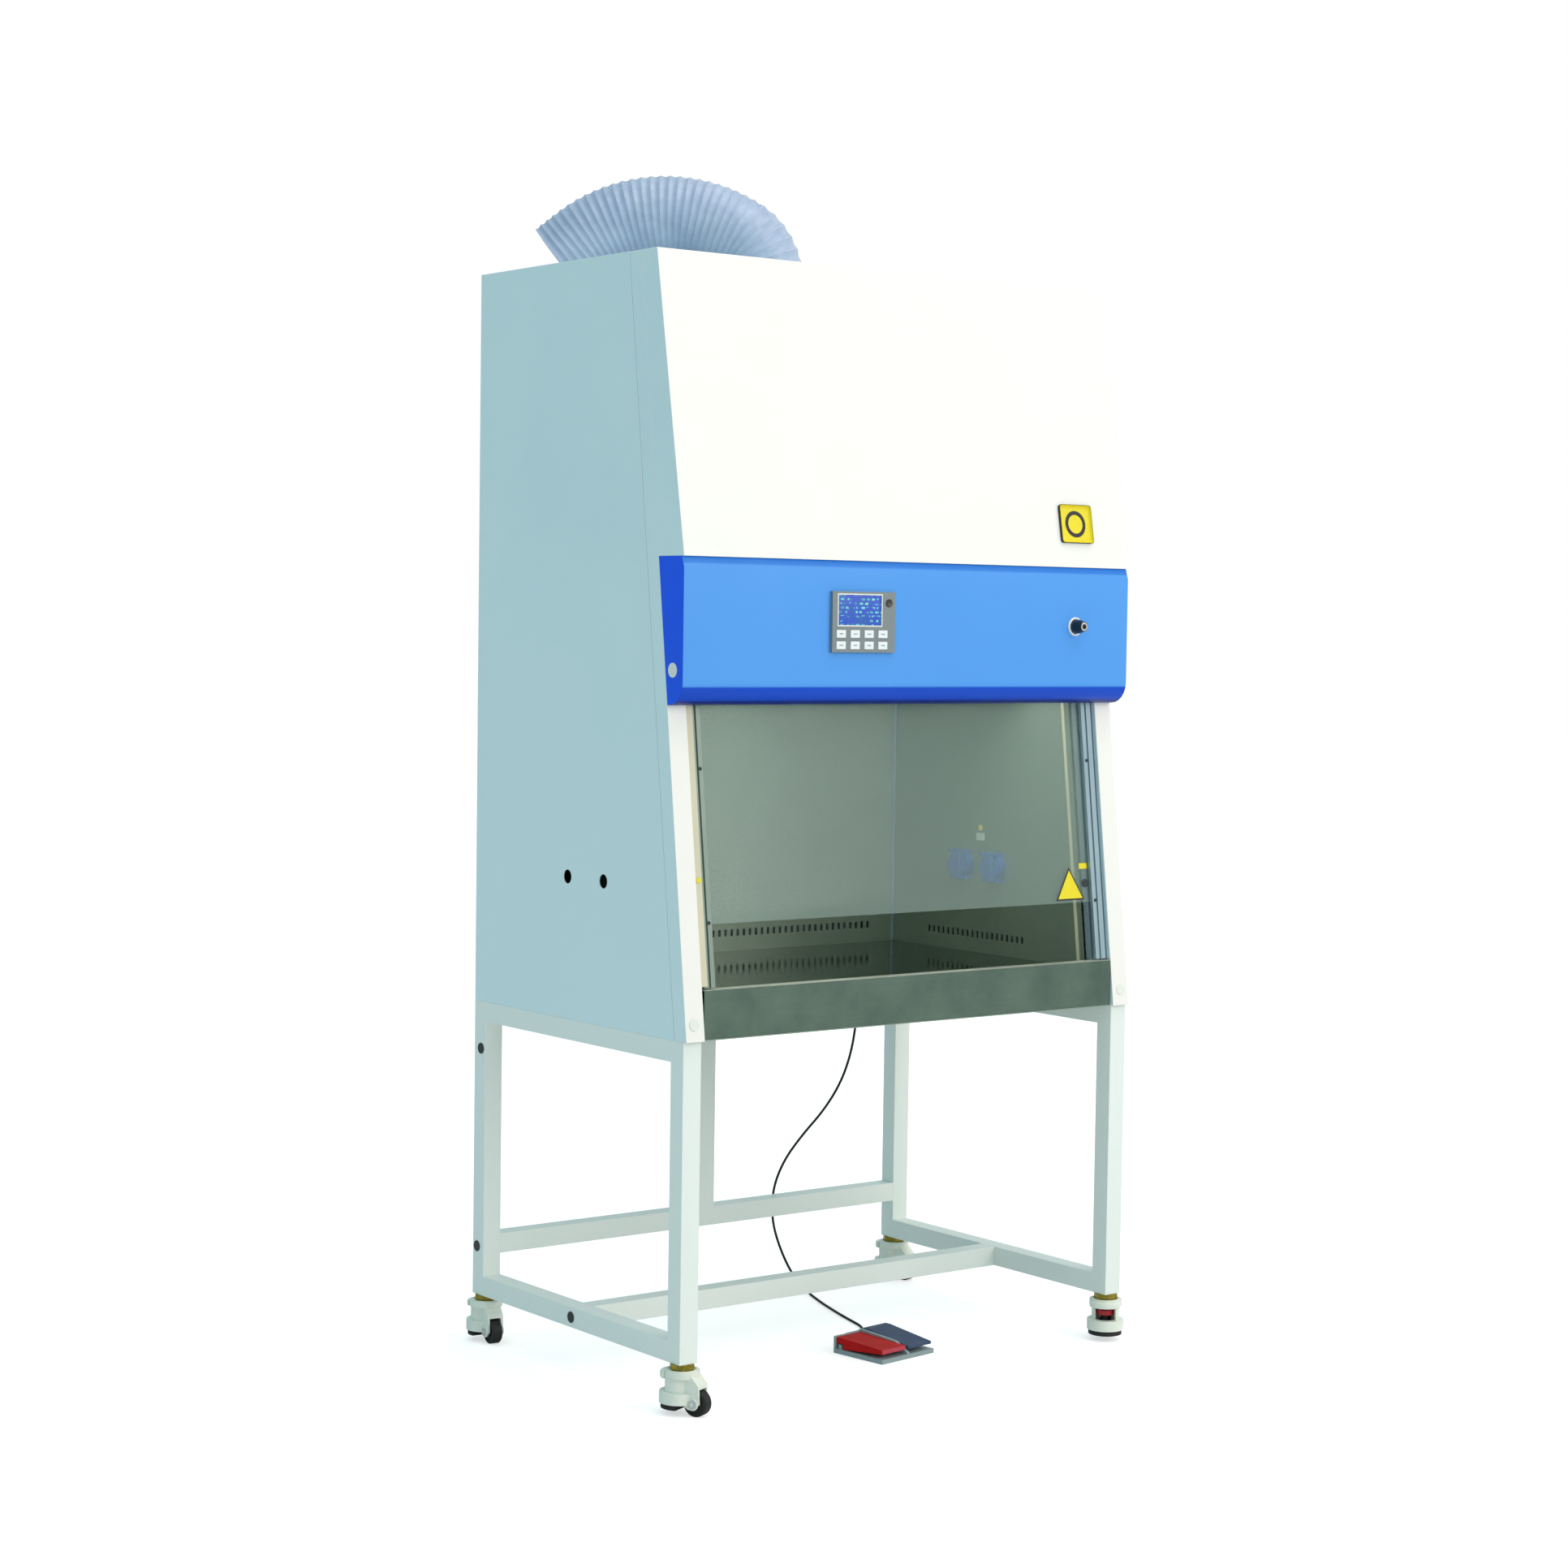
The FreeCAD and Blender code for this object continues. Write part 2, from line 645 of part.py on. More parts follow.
ceiling_front = front_at(chamber_top) + wall_front
ceiling_plate = box("ceiling_plate", (-chamber_half, chamber_half), (ceiling_front, chamber_back),
                    (chamber_top - skin, chamber_top))
vent_count = 12
vent_pitch = (chamber_back - filter_front - tube) / vent_count
vents = []
for index in range(vent_count):
    low = filter_front + tube / 2 + vent_pitch * index
    vents.append(box(f"vent_{index}", (-filter_half + tube, filter_half - tube),
                     (low, low + vent_pitch / 2),
                     (chamber_top - skin, chamber_top)))
node("chamber_ceiling", cut("ceiling", ceiling_plate, [group("vents", vents)]))

tray_side = chamber_half - gap
tray_skin = control_skin
tray_y = (tray_edge + tray_skin + gap, chamber_back - gap)
tray_plate = box("tray_plate", (-tray_side, tray_side), tray_y, (tray_top - tray_skirt, tray_top))
tray_core = box("tray_core", (-tray_side + tray_skin, tray_side - tray_skin),
                (tray_y[0] + tray_skin, tray_y[1] - tray_skin), (tray_top - tray_skirt,
                                                                 tray_top - tray_skin))
grille = []
grille_count = 56
grille_pitch = tray_side * 2 / (grille_count + 1)
for line in range(2):
    for index in range(grille_count):
        low = -tray_side + grille_pitch * (index + 1) - slot_wide / 2
        along = tray_y[0] + slot_tall + line * slot_tall * 1.4
        grille.append(box(f"grille_{line}_{index}", (low, low + slot_wide), (along, along + slot_tall),
                          (tray_top - tray_skin, tray_top)))
node("work_tray", cut("tray", tray_plate, [tray_core, group("grille", grille)]))

# ---- Lamps under the front of the ceiling ----
lamp_radius = size("lamp_radius", 13)
lamp_half = chamber_half - size("lamp_inset", 40)
lamps = []
for index in range(2):
    middle_y = front_at(chamber_top) + column_depth * 2 + index * tube
    middle_z = chamber_top - skin - lamp_radius - wheel_half
    glass = rod(f"lamp_{index}_glass", (-lamp_half, middle_y, middle_z), lamp_radius, lamp_half * 2,
                "X")
    ends = []
    for side, hand in ((-1, "left"), (1, "right")):
        across = span(side, lamp_half, lamp_half + lamp_radius)
        ends.append(box(f"lamp_{index}_{hand}", across,
                        (middle_y - lamp_radius, middle_y + lamp_radius),
                        (middle_z - lamp_radius, chamber_top - skin)))
    lamps.append(fuse(f"lamp_{index}", [glass] + ends))
node("lamp_tubes", group("lamps", lamps))


# ---- Filters: a frame holding upright pleats ----
def filter_unit(name, across, along, up, pleats):
    frame = box(name + "_frame", across, along, up)
    inner_x = (as_size(across[0]) + filter_frame, as_size(across[1]) - filter_frame)
    inner_y = (as_size(along[0]) + filter_frame, as_size(along[1]) - filter_frame)
    core = box(name + "_core", inner_x, inner_y, up)
    ring = cut(name + "_ring", frame, [core])
    step = (inner_x[1] - inner_x[0]) / (pleats + 1)
    sheets = []
    for index in range(pleats):
        low = inner_x[0] + step * (index + 1)
        sheets.append(box(f"{name}_pleat_{index}", (low, low + skin),
                          (inner_y[0] - skin, inner_y[1] + skin),
                          (up[0] + filter_frame, up[1] - filter_frame)))
    return fuse(name, [ring] + sheets)


supply = filter_unit("supply_filter", (-filter_half, filter_half),
                     (filter_front, chamber_back - filter_frame),
                     (chamber_top, chamber_top + filter_tall), 24)
exhaust_y = (hose_y - exhaust_filter_half, hose_y + exhaust_filter_half)
exhaust_top = cab_top - skin
exhaust = filter_unit("exhaust_filter", (-exhaust_filter_half, exhaust_filter_half), exhaust_y,
                      (exhaust_top - filter_tall, exhaust_top), 12)
node("hepa_filters", group("filters", [supply, exhaust]))

# ---- Blower: a drum housing with a fixed axle, and the wheel that turns on it ----
drum_wall = size("drum_wall", 3)
inlet_radius = blower_radius * 0.6
drum = rod("drum_outer", (-blower_half, 0, 0), blower_radius, blower_half * 2, "X")
throat_z = (chamber_top + filter_tall) - blower_z
throat = box("throat_outer", (-blower_half, blower_half), (-blower_radius, 0), (throat_z, 0))
drum_core = rod("drum_inner", (-blower_half + drum_wall, 0, 0), blower_radius - drum_wall,
                (blower_half - drum_wall) * 2, "X")
throat_core = box("throat_inner", (-blower_half + drum_wall, blower_half - drum_wall),
                  (-blower_radius + drum_wall, -drum_wall), (throat_z, 0))
inlet = rod("inlet", (-blower_half, 0, 0), inlet_radius, blower_half * 2, "X")
scroll = cut("scroll", fuse("scroll_outer", [drum, throat]), [drum_core, throat_core, inlet])
axle = rod("fan_axle", (-blower_half, 0, 0), axle_radius, blower_half * 2, "X")
spiders = []
for side, hand in ((-1, "left"), (1, "right")):
    across = span(side, blower_half - drum_wall, blower_half)
    arm_long = inlet_radius + drum_wall
    spiders.append(box(f"arm_{hand}_up", across, (-axle_radius, axle_radius), (-arm_long, arm_long)))
    spiders.append(box(f"arm_{hand}_along", across, (-arm_long, arm_long), (-axle_radius, axle_radius)))
blower = fuse("blower_all", [scroll, axle] + spiders)
node("blower_housing", moved("blower", blower, (0, blower_y, blower_z)))

blade_count = 24
disc_half = drum_wall
hub = rod("hub", (-impeller_half, 0, 0), axle_radius * 2, impeller_half * 2, "X")
disc = rod("disc", (-disc_half, 0, 0), impeller_radius, disc_half * 2, "X")
rings = []
for side, hand in ((-1, "left"), (1, "right")):
    across = span(side, impeller_half - disc_half, impeller_half)
    outer = rod(f"ring_{hand}_outer", (across[0], 0, 0), impeller_radius, disc_half, "X")
    inner = rod(f"ring_{hand}_inner", (across[0], 0, 0), impeller_radius * 0.8, disc_half, "X")
    rings.append(cut(f"ring_{hand}", outer, [inner]))
blades = []
for index in range(blade_count):
    blade = box(f"blade_{index}", (-impeller_half, impeller_half), (-skin / 2, skin / 2),
                (impeller_radius * 0.82, impeller_radius * 0.98))
    blades.append(moved(f"blade_{index}_turned", blade, (0, 0, 0), "X", 360 * index / blade_count))
wheel_all = fuse("fan_wheel", [hub, disc] + rings + blades)
fan_bore = rod("fan_bore", (-impeller_half, 0, 0), axle_radius + running, impeller_half * 2, "X")
fan = cut("fan", wheel_all, [fan_bore])
node("blower_impeller", moved("fan_placed", fan, (0, blower_y, blower_z)))

# ---- Exhaust collar and hose ----
collar_top = cab_top + hose_rise
collar_profile = [(hose_bore - hose_wall, exhaust_top), (hose_bore, exhaust_top), (hose_bore, cab_top),
                  (hose_bore + tube, cab_top), (hose_bore + tube, cab_top + skin),
                  (hose_bore, cab_top + skin), (hose_bore, collar_top),
                 (hose_bore - hose_wall, collar_top)]
collar = lathe("collar", collar_profile)
node("exhaust_collar", moved("collar_placed", collar, (0, hose_y, 0)))


def hose_point(distance):
    """Centre and direction of the hose at a distance along it: rise, tight bend, wide bend, straight end."""
    heading = math.radians(hose_heading.value)
    ahead = Vector(math.cos(heading), math.sin(heading), 0)
    first = hose_first_radius.value * math.radians(hose_first_turn.value)
    second = hose_second_radius.value * math.radians(hose_second_turn.value)
    point = Vector(0, hose_y.value, cab_top.value + skin.value)
    stretches = ((hose_rise.value, 0), (first, hose_first_radius.value),
                 (second, hose_second_radius.value), (hose_cuff.value, 0))
    turned = 0
    for long, radius in stretches:
        here = min(distance, long)
        swing = here / radius if radius else 0
        side = ahead * math.cos(turned) - Vector(0, 0, math.sin(turned))
        forward = ahead * math.sin(turned) + Vector(0, 0, math.cos(turned))
        if radius:
            point = point + side * (radius * (1 - math.cos(swing))) + forward * (radius * math.sin(swing))
        else:
            point = point + forward * here
        turned += swing
        distance -= here
        if distance <= 0:
            break
    return point, ahead * math.sin(turned) + Vector(0, 0, math.cos(turned))


def hose_skin(sections):
    """A closed skin through circles given as distance and radius."""
    wires = []
    for distance, radius in sections:
        centre, direction = hose_point(distance)
        wires.append(Part.Wire(Part.makeCircle(radius, centre, direction)))
    return Part.makeLoft(wires, True, True)


hose_long = (hose_rise.value + hose_cuff.value
             + hose_first_radius.value * math.radians(hose_first_turn.value)
             + hose_second_radius.value * math.radians(hose_second_turn.value))
rib_start = hose_rise.value
rib_pitch = (hose_long - hose_rise.value - hose_cuff.value) / hose_ribs.value
valley = hose_bore.value
outside_sections = [(0, valley + hose_wall.value)]
inside_sections = [(0, valley)]
for index in range(int(hose_ribs.value)):
    for share, lift in ((0.0, 0), (0.55, 0), (0.78, hose_rib.value)):
        distance = rib_start + rib_pitch * (index + share)
        outside_sections.append((distance, valley + hose_wall.value + lift))
        inside_sections.append((distance, valley + lift))
cuff_start = hose_long - hose_cuff.value
for distance in (cuff_start, hose_long):
    outside_sections.append((distance, valley + hose_wall.value))
    inside_sections.append((distance, valley))
hose = doc.addObject("Part::Feature", "hose")
hose.Shape = hose_skin(outside_sections).cut(hose_skin(inside_sections))
node("exhaust_duct", place(hose, (0, 0, 0)))
end_centre, end_direction = hose_point(hose_long)
print("hose end", end_centre, end_direction, "length", round(hose_long, 1))

# ---- Small covers: black plugs on the frame, pale caps on columns and housing ----
plug_radius = size("plug_radius", 11)
plug_thick = size("plug_thick", 1.5)
cap_rise = size("cap_rise", 32)
cap_along = size("cap_along", 48)
cap_lift = size("cap_lift", 64)
plug_spots = ((cab_depth - size("plug_upper_inset", 25), stand_top - size("plug_upper_drop", 95)),
              (cab_depth - size("plug_lower_inset", 16), crossbar_low + size("plug_lower_lift", 15)),
              (centre_bar_front + tube / 2, stand_bottom + tube / 2))
plugs = []
for side, hand in ((-1, "left"), (1, "right")):
    for index, (along, up) in enumerate(plug_spots):
        across = span(side, half, half + plug_thick)
        plugs.append(rod(f"plug_{hand}_{index}", (across[0], along, up), plug_radius, plug_thick, "X"))
    end_x = span(side, half, half + plug_thick)
    plugs.append(rod(f"cap_{hand}_end", (end_x[0], cap_along, control_low + cap_lift),
                     plug_radius * 1.25, plug_thick, "X"))
    cap = rod(f"cap_{hand}_flat", ((half - tube / 2) * side, -plug_thick, cap_rise), plug_radius,
              plug_thick, "Y")
    plugs.append(leaned(f"cap_{hand}", cap))
node("cover_plugs", group("plugs", plugs))


# ---- Casters: each swivels under a leg, rolls, and has a levelling foot on a screw ----
def caster(label, leg_x, leg_y, heading):
    axle_z = wheel_radius
    head = rod(f"{label}_head", (0, 0, head_low), head_radius, nut_low - gap - head_low)
    column = rod(f"{label}_column", (-foot_offset, 0, body_low), cavity_radius + foot_offset,
                 head_low - body_low)
    collar_ring = rod(f"{label}_ring", (-foot_offset, 0, body_low), body_radius, ring_top - body_low)
    fork_outline = [(0, body_low), (foot_offset * 1.5, body_low),
                    (trail - wheel_half, axle_z - wheel_half),
                    (trail, axle_z - wheel_half - skin / 2), (trail + wheel_half + skin, axle_z),
                    (trail + wheel_half, head_low - wheel_half), (trail - wheel_half,
                                                                  nut_low - gap), (0, nut_low - gap)]
    fork = prism(f"{label}_fork", "XZ", fork_outline, -fork_half, fork_half * 2)
    cavity = rod(f"{label}_cavity", (-foot_offset, 0, body_low), cavity_radius, head_low - body_low)
    wheel_room = box(f"{label}_room", (foot_offset + gap, trail + body_radius),
                     (-wheel_half - skin / 2, wheel_half + skin / 2), (0, wheel_radius * 2 + skin))
    window = box(f"{label}_window", (-body_radius * 2, -foot_offset - wheel_half),
                 (-cavity_radius, cavity_radius), (ring_top, head_low))
    pin_bore = rod(f"{label}_pin_bore", (0, 0, head_low), stem_radius + running, nut_low - head_low)
    hull = fuse(f"{label}_hull", [head, column, collar_ring, fork])
    shell = cut(f"{label}_shell", hull, [cavity, wheel_room, window, pin_bore])
    bolt = rod(f"{label}_bolt", (trail, -fork_half - skin, axle_z), bolt_radius,
               (fork_half + skin) * 2, "Y")
    bolt_heads = []
    for side, hand in ((-1, "near"), (1, "far")):
        along = span(side, fork_half, fork_half + skin * 2)
        bolt_heads.append(rod(f"{label}_bolt_{hand}", (trail, along[0], axle_z), bolt_radius * 1.8,
                              skin * 2, "Y"))
    housing = fuse(f"{label}_housing_all", [shell, bolt] + bolt_heads)
    node(f"{label}_housing", moved(f"{label}_housing_placed", housing, (leg_x, leg_y, 0), "Z", heading))

    rim = wheel_radius - skin
    hub_face = wheel_half - skin
    rim_inner = rim - skin * 2
    hub = bolt_radius * 2
    wheel_outline = [(bolt_radius + running, -wheel_half), (hub, -wheel_half), (hub, -hub_face),
                     (rim_inner, -hub_face), (rim_inner, -wheel_half), (rim, -wheel_half),
                     (wheel_radius, -hub_face), (wheel_radius, hub_face), (rim, wheel_half),
                     (rim_inner, wheel_half), (rim_inner, hub_face), (hub, hub_face),
                     (hub, wheel_half), (bolt_radius + running, wheel_half)]
    wheel = lathe(f"{label}_wheel_turned", wheel_outline)
    wheel_up = moved(f"{label}_wheel_up", wheel, (trail, 0, axle_z), "X", 90)
    node(f"{label}_wheel", moved(f"{label}_wheel_placed", wheel_up, (leg_x, leg_y, 0), "Z", heading))

    notch_count = 12
    disc_tall = wheel_half - skin / 2
    dial = rod(f"{label}_dial_disc", (0, 0, dial_low), dial_radius, disc_tall)
    notches = [rod(f"{label}_dial_bore", (0, 0, dial_low), stem_radius + running, disc_tall)]
    for index in range(notch_count):
        notch = rod(f"{label}_notch_{index}", (dial_radius + skin / 2, 0, dial_low), skin, disc_tall)
        notches.append(moved(f"{label}_notch_{index}_set", notch, (0, 0, 0), "Z",
                             360 * index / notch_count))
    dial_cut = cut(f"{label}_dial_cut", dial, notches)
    dial_off = moved(f"{label}_dial_off", dial_cut, (-foot_offset, 0, 0))
    node(f"{label}_dial", moved(f"{label}_dial_placed", dial_off, (leg_x, leg_y, 0), "Z", heading))

    pad_top = body_low - gap
    sole = rod(f"{label}_sole", (0, 0, pad_low), pad_radius, pad_top - pad_low)
    heel = box(f"{label}_heel", (foot_offset * 2, pad_radius * 2), (-pad_radius, pad_radius),
               (pad_low, pad_top))
    stem_top = head_low - foot_offset
    stem = rod(f"{label}_stem", (0, 0, pad_low), stem_radius, stem_top - pad_low)
    shoulder = rod(f"{label}_shoulder", (0, 0, pad_low), stem_radius + skin, dial_low - gap - pad_low)
    pad = fuse(f"{label}_pad_all", [cut(f"{label}_pad_cut", sole, [heel]), stem, shoulder])
    pad_off = moved(f"{label}_pad_off", pad, (-foot_offset, 0, 0))
    node(f"{label}_pad", moved(f"{label}_pad_placed", pad_off, (leg_x, leg_y, 0), "Z", heading))

    nut = doc.addObject("Part::Prism", f"{label}_nut_hex")
    nut.Polygon = 6
    nut.Circumradius = nut_radius.value
    bind(nut, "Circumradius", nut_radius)
    nut.Height = (stand_bottom - nut_low).value
    bind(nut, "Height", stand_bottom - nut_low)
    place(nut, (leg_x, leg_y, nut_low))
    pin = rod(f"{label}_pin", (leg_x, leg_y, head_low + gap), stem_radius,
              stand_bottom + tube - head_low)
    return fuse(f"{label}_nut", [nut, pin])


leg_x = half - tube / 2
leg_front = tube / 2
leg_rear = cab_depth - tube / 2
nuts = [caster("caster_front_left", -leg_x, leg_front, size("heading_front_left", 293)),
        caster("caster_front_right", leg_x, leg_front, size("heading_front_right", 45)),
        caster("caster_rear_left", -leg_x, leg_rear, size("heading_rear_left", 263)),
        caster("caster_rear_right", leg_x, leg_rear, size("heading_rear_right", 285))]
node("caster_nuts", group("nuts", nuts))


# ---- Power sockets on the right wall, each with a sprung lid hinged at its top ----
def socket(hand, along):
    face = chamber_half - socket_deep
    round_body = rod(f"socket_{hand}_round", (face, along, socket_z), socket_radius, socket_deep, "X")
    shoulder = socket_radius * 0.75
    plate = box(f"socket_{hand}_plate", (face, chamber_half), (along - shoulder, along + shoulder),
                (socket_z - socket_radius, socket_z + socket_radius))
    hinge_x = face - lid_thick / 2 - gap
    hinge_z = socket_z + socket_radius - bolt_radius
    lugs = []
    for side, word in ((-1, "front"), (1, "rear")):
        near = span(side, shoulder - lid_thick, shoulder)
        lug_y = (near[0] + along, near[1] + along)
        lugs.append(box(f"socket_{hand}_lug_{word}", (hinge_x - bolt_radius, face), lug_y,
                        (hinge_z - bolt_radius, hinge_z + bolt_radius)))
    pin = rod(f"socket_{hand}_pin", (hinge_x, along - shoulder, hinge_z), skin * 0.75, shoulder * 2,
              "Y")
    recess = rod(f"socket_{hand}_recess", (face, along, socket_z), recess_radius, recess_deep, "X")
    body = fuse(f"socket_{hand}_solid", [round_body, plate])
    hollowed = cut(f"socket_{hand}_hollowed", body, [recess])
    whole = fuse(f"socket_{hand}", [hollowed, pin] + lugs)

    inside_y = (along - shoulder + lid_thick + gap, along + shoulder - lid_thick - gap)
    knuckle = rod(f"lid_{hand}_knuckle", (hinge_x, inside_y[0], hinge_z), bolt_radius * 0.75,
                  inside_y[1] - inside_y[0], "Y")
    lid_low = socket_z - socket_radius + skin
    leaf = box(f"lid_{hand}_leaf", (hinge_x - lid_thick / 2, hinge_x + lid_thick / 2), inside_y,
               (lid_low, hinge_z))
    round_leaf = rod(f"lid_{hand}_round", (hinge_x - lid_thick / 2, along, socket_z - skin),
                     socket_radius - skin * 2,
                     lid_thick, "X")
    ridge = box(f"lid_{hand}_ridge", (hinge_x - lid_thick, hinge_x),
                (along - shoulder / 2, along - shoulder / 4),
                (lid_low, hinge_z - bolt_radius))
    bore = rod(f"lid_{hand}_bore", (hinge_x, along - shoulder, hinge_z), skin * 0.75 + running,
               shoulder * 2, "Y")
    solid = fuse(f"lid_{hand}_solid", [knuckle, leaf, round_leaf, ridge])
    node(f"socket_lid_{hand}", cut(f"lid_{hand}", solid, [bore]))
    print("lid hinge", hand, hinge_x.value, along.value, hinge_z.value)
    return whole


sockets = [socket("rear", socket_rear_y), socket("front", socket_front_y)]
node("power_sockets", group("sockets", sockets))

# ---- Foot switch: base with a raised frame and two sprung pedals ----
frame_top = size("frame_top", 34)
rim_wide = size("rim_wide", 4)
divider = size("divider", 7)
pedal_room = size("pedal_room", 0.8)
hinge_in = size("hinge_in", 10)
floor_plate = box("switch_floor", (-switch_half_x, switch_half_x), (-switch_half_y, switch_half_y),
                  (0, switch_base))
rear_wall = box("switch_rear", (-switch_half_x, switch_half_x),
                (switch_half_y - rim_wide, switch_half_y),
                (0, frame_top))
middle_wall = prism("switch_middle", "YZ",
                    [(-switch_half_y, switch_base / 2), (-switch_half_y, switch_base + rim_wide),
                     (-switch_half_y / 2, frame_top - rim_wide), (switch_half_y - rim_wide,
                                                                  frame_top + rim_wide),
                     (switch_half_y - rim_wide, switch_base / 2)], -divider / 2, divider)
pedal_spots = (("left", -1, size("red_front_top", 27), size("red_rear_top", 32)),
               ("right", 1, size("blue_front_top", 24), size("blue_rear_top", 39)))
hinge_y = switch_half_y - rim_wide - hinge_in
hinge_z = switch_base + hinge_in / 2
pin_radius = skin
hinge_pin = rod("switch_pin", (-switch_half_x + rim_wide, hinge_y, hinge_z), pin_radius,
                (switch_half_x - rim_wide) * 2, "X")
ears = []
for side, hand in ((-1, "left"), (1, "right")):
    across = span(side, switch_half_x - rim_wide * 2, switch_half_x - rim_wide)
    ears.append(box(f"switch_ear_{hand}", across, (hinge_y - rim_wide, hinge_y + rim_wide),
                    (switch_base / 2, hinge_z + rim_wide)))
switch_solid = fuse("switch_solid", [floor_plate, rear_wall, middle_wall, hinge_pin] + ears)
node("foot_switch_base", moved("switch_placed", switch_solid, (switch_x, switch_y, 0), "Z",
                               switch_turn))
for hand, side, front_top, rear_top in pedal_spots:
    across = span(side, divider / 2 + pedal_room, switch_half_x - rim_wide)
    lift = size(f"pedal_lift_{hand}", 11)
    low = switch_base + lift / 2
    outline = [(-switch_half_y + rim_wide, low + rim_wide), (-switch_half_y + rim_wide, front_top),
               (hinge_y - rim_wide, rear_top), (switch_half_y - rim_wide - pedal_room, rear_top),
               (switch_half_y - rim_wide - pedal_room, hinge_z + rim_wide + pedal_room),
               (hinge_y, hinge_z - rim_wide), (hinge_y - hinge_in, switch_base + pedal_room)]
    solid = prism(f"pedal_{hand}_solid", "YZ", outline, across[0], across[1] - across[0])
    ear_room = span(side, switch_half_x - rim_wide * 2 - pedal_room, switch_half_x)
    room = box(f"pedal_{hand}_room", ear_room, (hinge_y - rim_wide * 2, switch_half_y),
               (0, hinge_z + rim_wide * 1.5))
    bore = rod(f"pedal_{hand}_bore", (-switch_half_x, hinge_y, hinge_z), pin_radius + running,
               switch_half_x * 2, "X")
    pedal = cut(f"pedal_{hand}_cut", solid, [room, bore])
    label = "pedal_red" if hand == "left" else "pedal_blue"
    node(label, moved(f"{label}_placed", pedal, (switch_x, switch_y, 0), "Z", switch_turn))

# ---- Cord: from the gland under the pan, behind the rear bar, over the floor to the switch ----
gland_x = half - size("gland_inset", 137)
gland_y = cab_depth - size("gland_setback", 30)
gland_tall = size("gland_tall", 22)
gland_low = stand_top - gland_tall
gland_radius = size("gland_radius", 9)
gland_profile = [(cord_radius, gland_low), (gland_radius * 0.6, gland_low),
                 (gland_radius, gland_low + gland_radius),
                 (gland_radius, stand_top), (cord_radius, stand_top)]
node("cord_gland", moved("gland", lathe("gland_body", gland_profile), (gland_x, gland_y, 0)))

turn = math.radians(switch_turn.value)
entry = Vector(switch_x.value - math.sin(turn) * switch_half_y.value,
               switch_y.value + math.cos(turn) * switch_half_y.value, 18)
floor_level = cord_radius.value
entry_run = 30
hanging = ((0, -50, 0), (-6, -110, 2), (-15, -175, 6), (-35, -240, 15), (-72, -300, 27),
           (-123, -353, 39),
           (-167, -407, 47), (-193, -468, 50), (-195, -534, 48), (-181, -596, 36), (-164, -652, 12))
lying = ((268, 678), (249.5, 630), (231, 580), (214, 527), (198, 475), (183.5, 422), (170, 370),
         (150, 341))
route = [Vector(gland_x.value, gland_y.value, stand_top.value)]
route += [Vector(gland_x.value + across, gland_y.value + back, stand_top.value + up) for across, up,
          back in hanging]
route += [Vector(across, along, floor_level) for across, along in lying]
route += [Vector(112, 326, 5), Vector(75, 303, 12)]
route += [Vector(entry.x - math.sin(turn) * entry_run, entry.y + math.cos(turn) * entry_run, entry.z),
          entry]


def arc_radius(before, corner, after):
    """Largest bend that fits the shorter of two runs."""
    inward = (corner - before)
    outward = (after - corner)
    half_turn = inward.getAngle(outward) / 2
    return 0.45 * min(inward.Length, outward.Length) / math.tan(half_turn), half_turn


edges = []
current = route[0]
radii = []
for before, corner, after in zip(route, route[1:], route[2:]):
    radius, half_turn = arc_radius(before, corner, after)
    radii.append(round(radius))
    reach = radius * math.tan(half_turn)
    to_before = (before - corner).normalize()
    to_after = (after - corner).normalize()
    first = corner + to_before * reach
    last = corner + to_after * reach
    inside = (to_before + to_after).normalize()
    middle = corner + inside * (radius / math.cos(half_turn) - radius)
    edges.append(Part.LineSegment(current, first).toShape())
    edges.append(Part.Arc(first, middle, last).toShape())
    current = last
edges.append(Part.LineSegment(current, route[-1]).toShape())
path = Part.Wire(edges)
print("cord radii", radii)
profile = Part.Wire(Part.makeCircle(cord_radius.value, route[0], route[1] - route[0]))
cord = doc.addObject("Part::Feature", "cord")
cord.Shape = path.makePipeShell([profile], True, False)
node("foot_switch_cord", place(cord, (0, 0, 0)))
section = math.pi * cord_radius.value ** 2
print("cord length", round(path.Length, 1), "volume", round(cord.Shape.Volume), "expected",
      round(section * path.Length))

doc.recompute()

problems = [item.Name + " " + ",".join(item.State) for item in doc.Objects
            if "Invalid" in item.State or "Error" in item.State]
for item in nodes:
    shape = item.Shape
    if shape.isNull() or not shape.isValid() or not shape.Solids:
        problems.append(item.Label + " has no valid solid")
if problems:
    raise RuntimeError("; ".join(problems))
whole = FreeCAD.BoundBox()
for item in nodes:
    if item.Label not in ("foot_switch_cord", "foot_switch_base", "pedal_red", "pedal_blue"):
        whole.add(item.Shape.BoundBox)
    item.Shape.exportStep(f"parts/{item.Label}.step")
print("nodes", len(nodes), "box", whole)
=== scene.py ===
# %% [markdown]
# # A ducted safety cabinet, finished in Blender
# The CAD part gives every piece its real shape, size and motion. This lesson gives each
# piece the look of the real thing: paint, brushed steel, glass, rubber and soft plastic.

# %% Imports and the frame
import json
import math

import bpy
from mathutils import Matrix, Quaternion, Vector

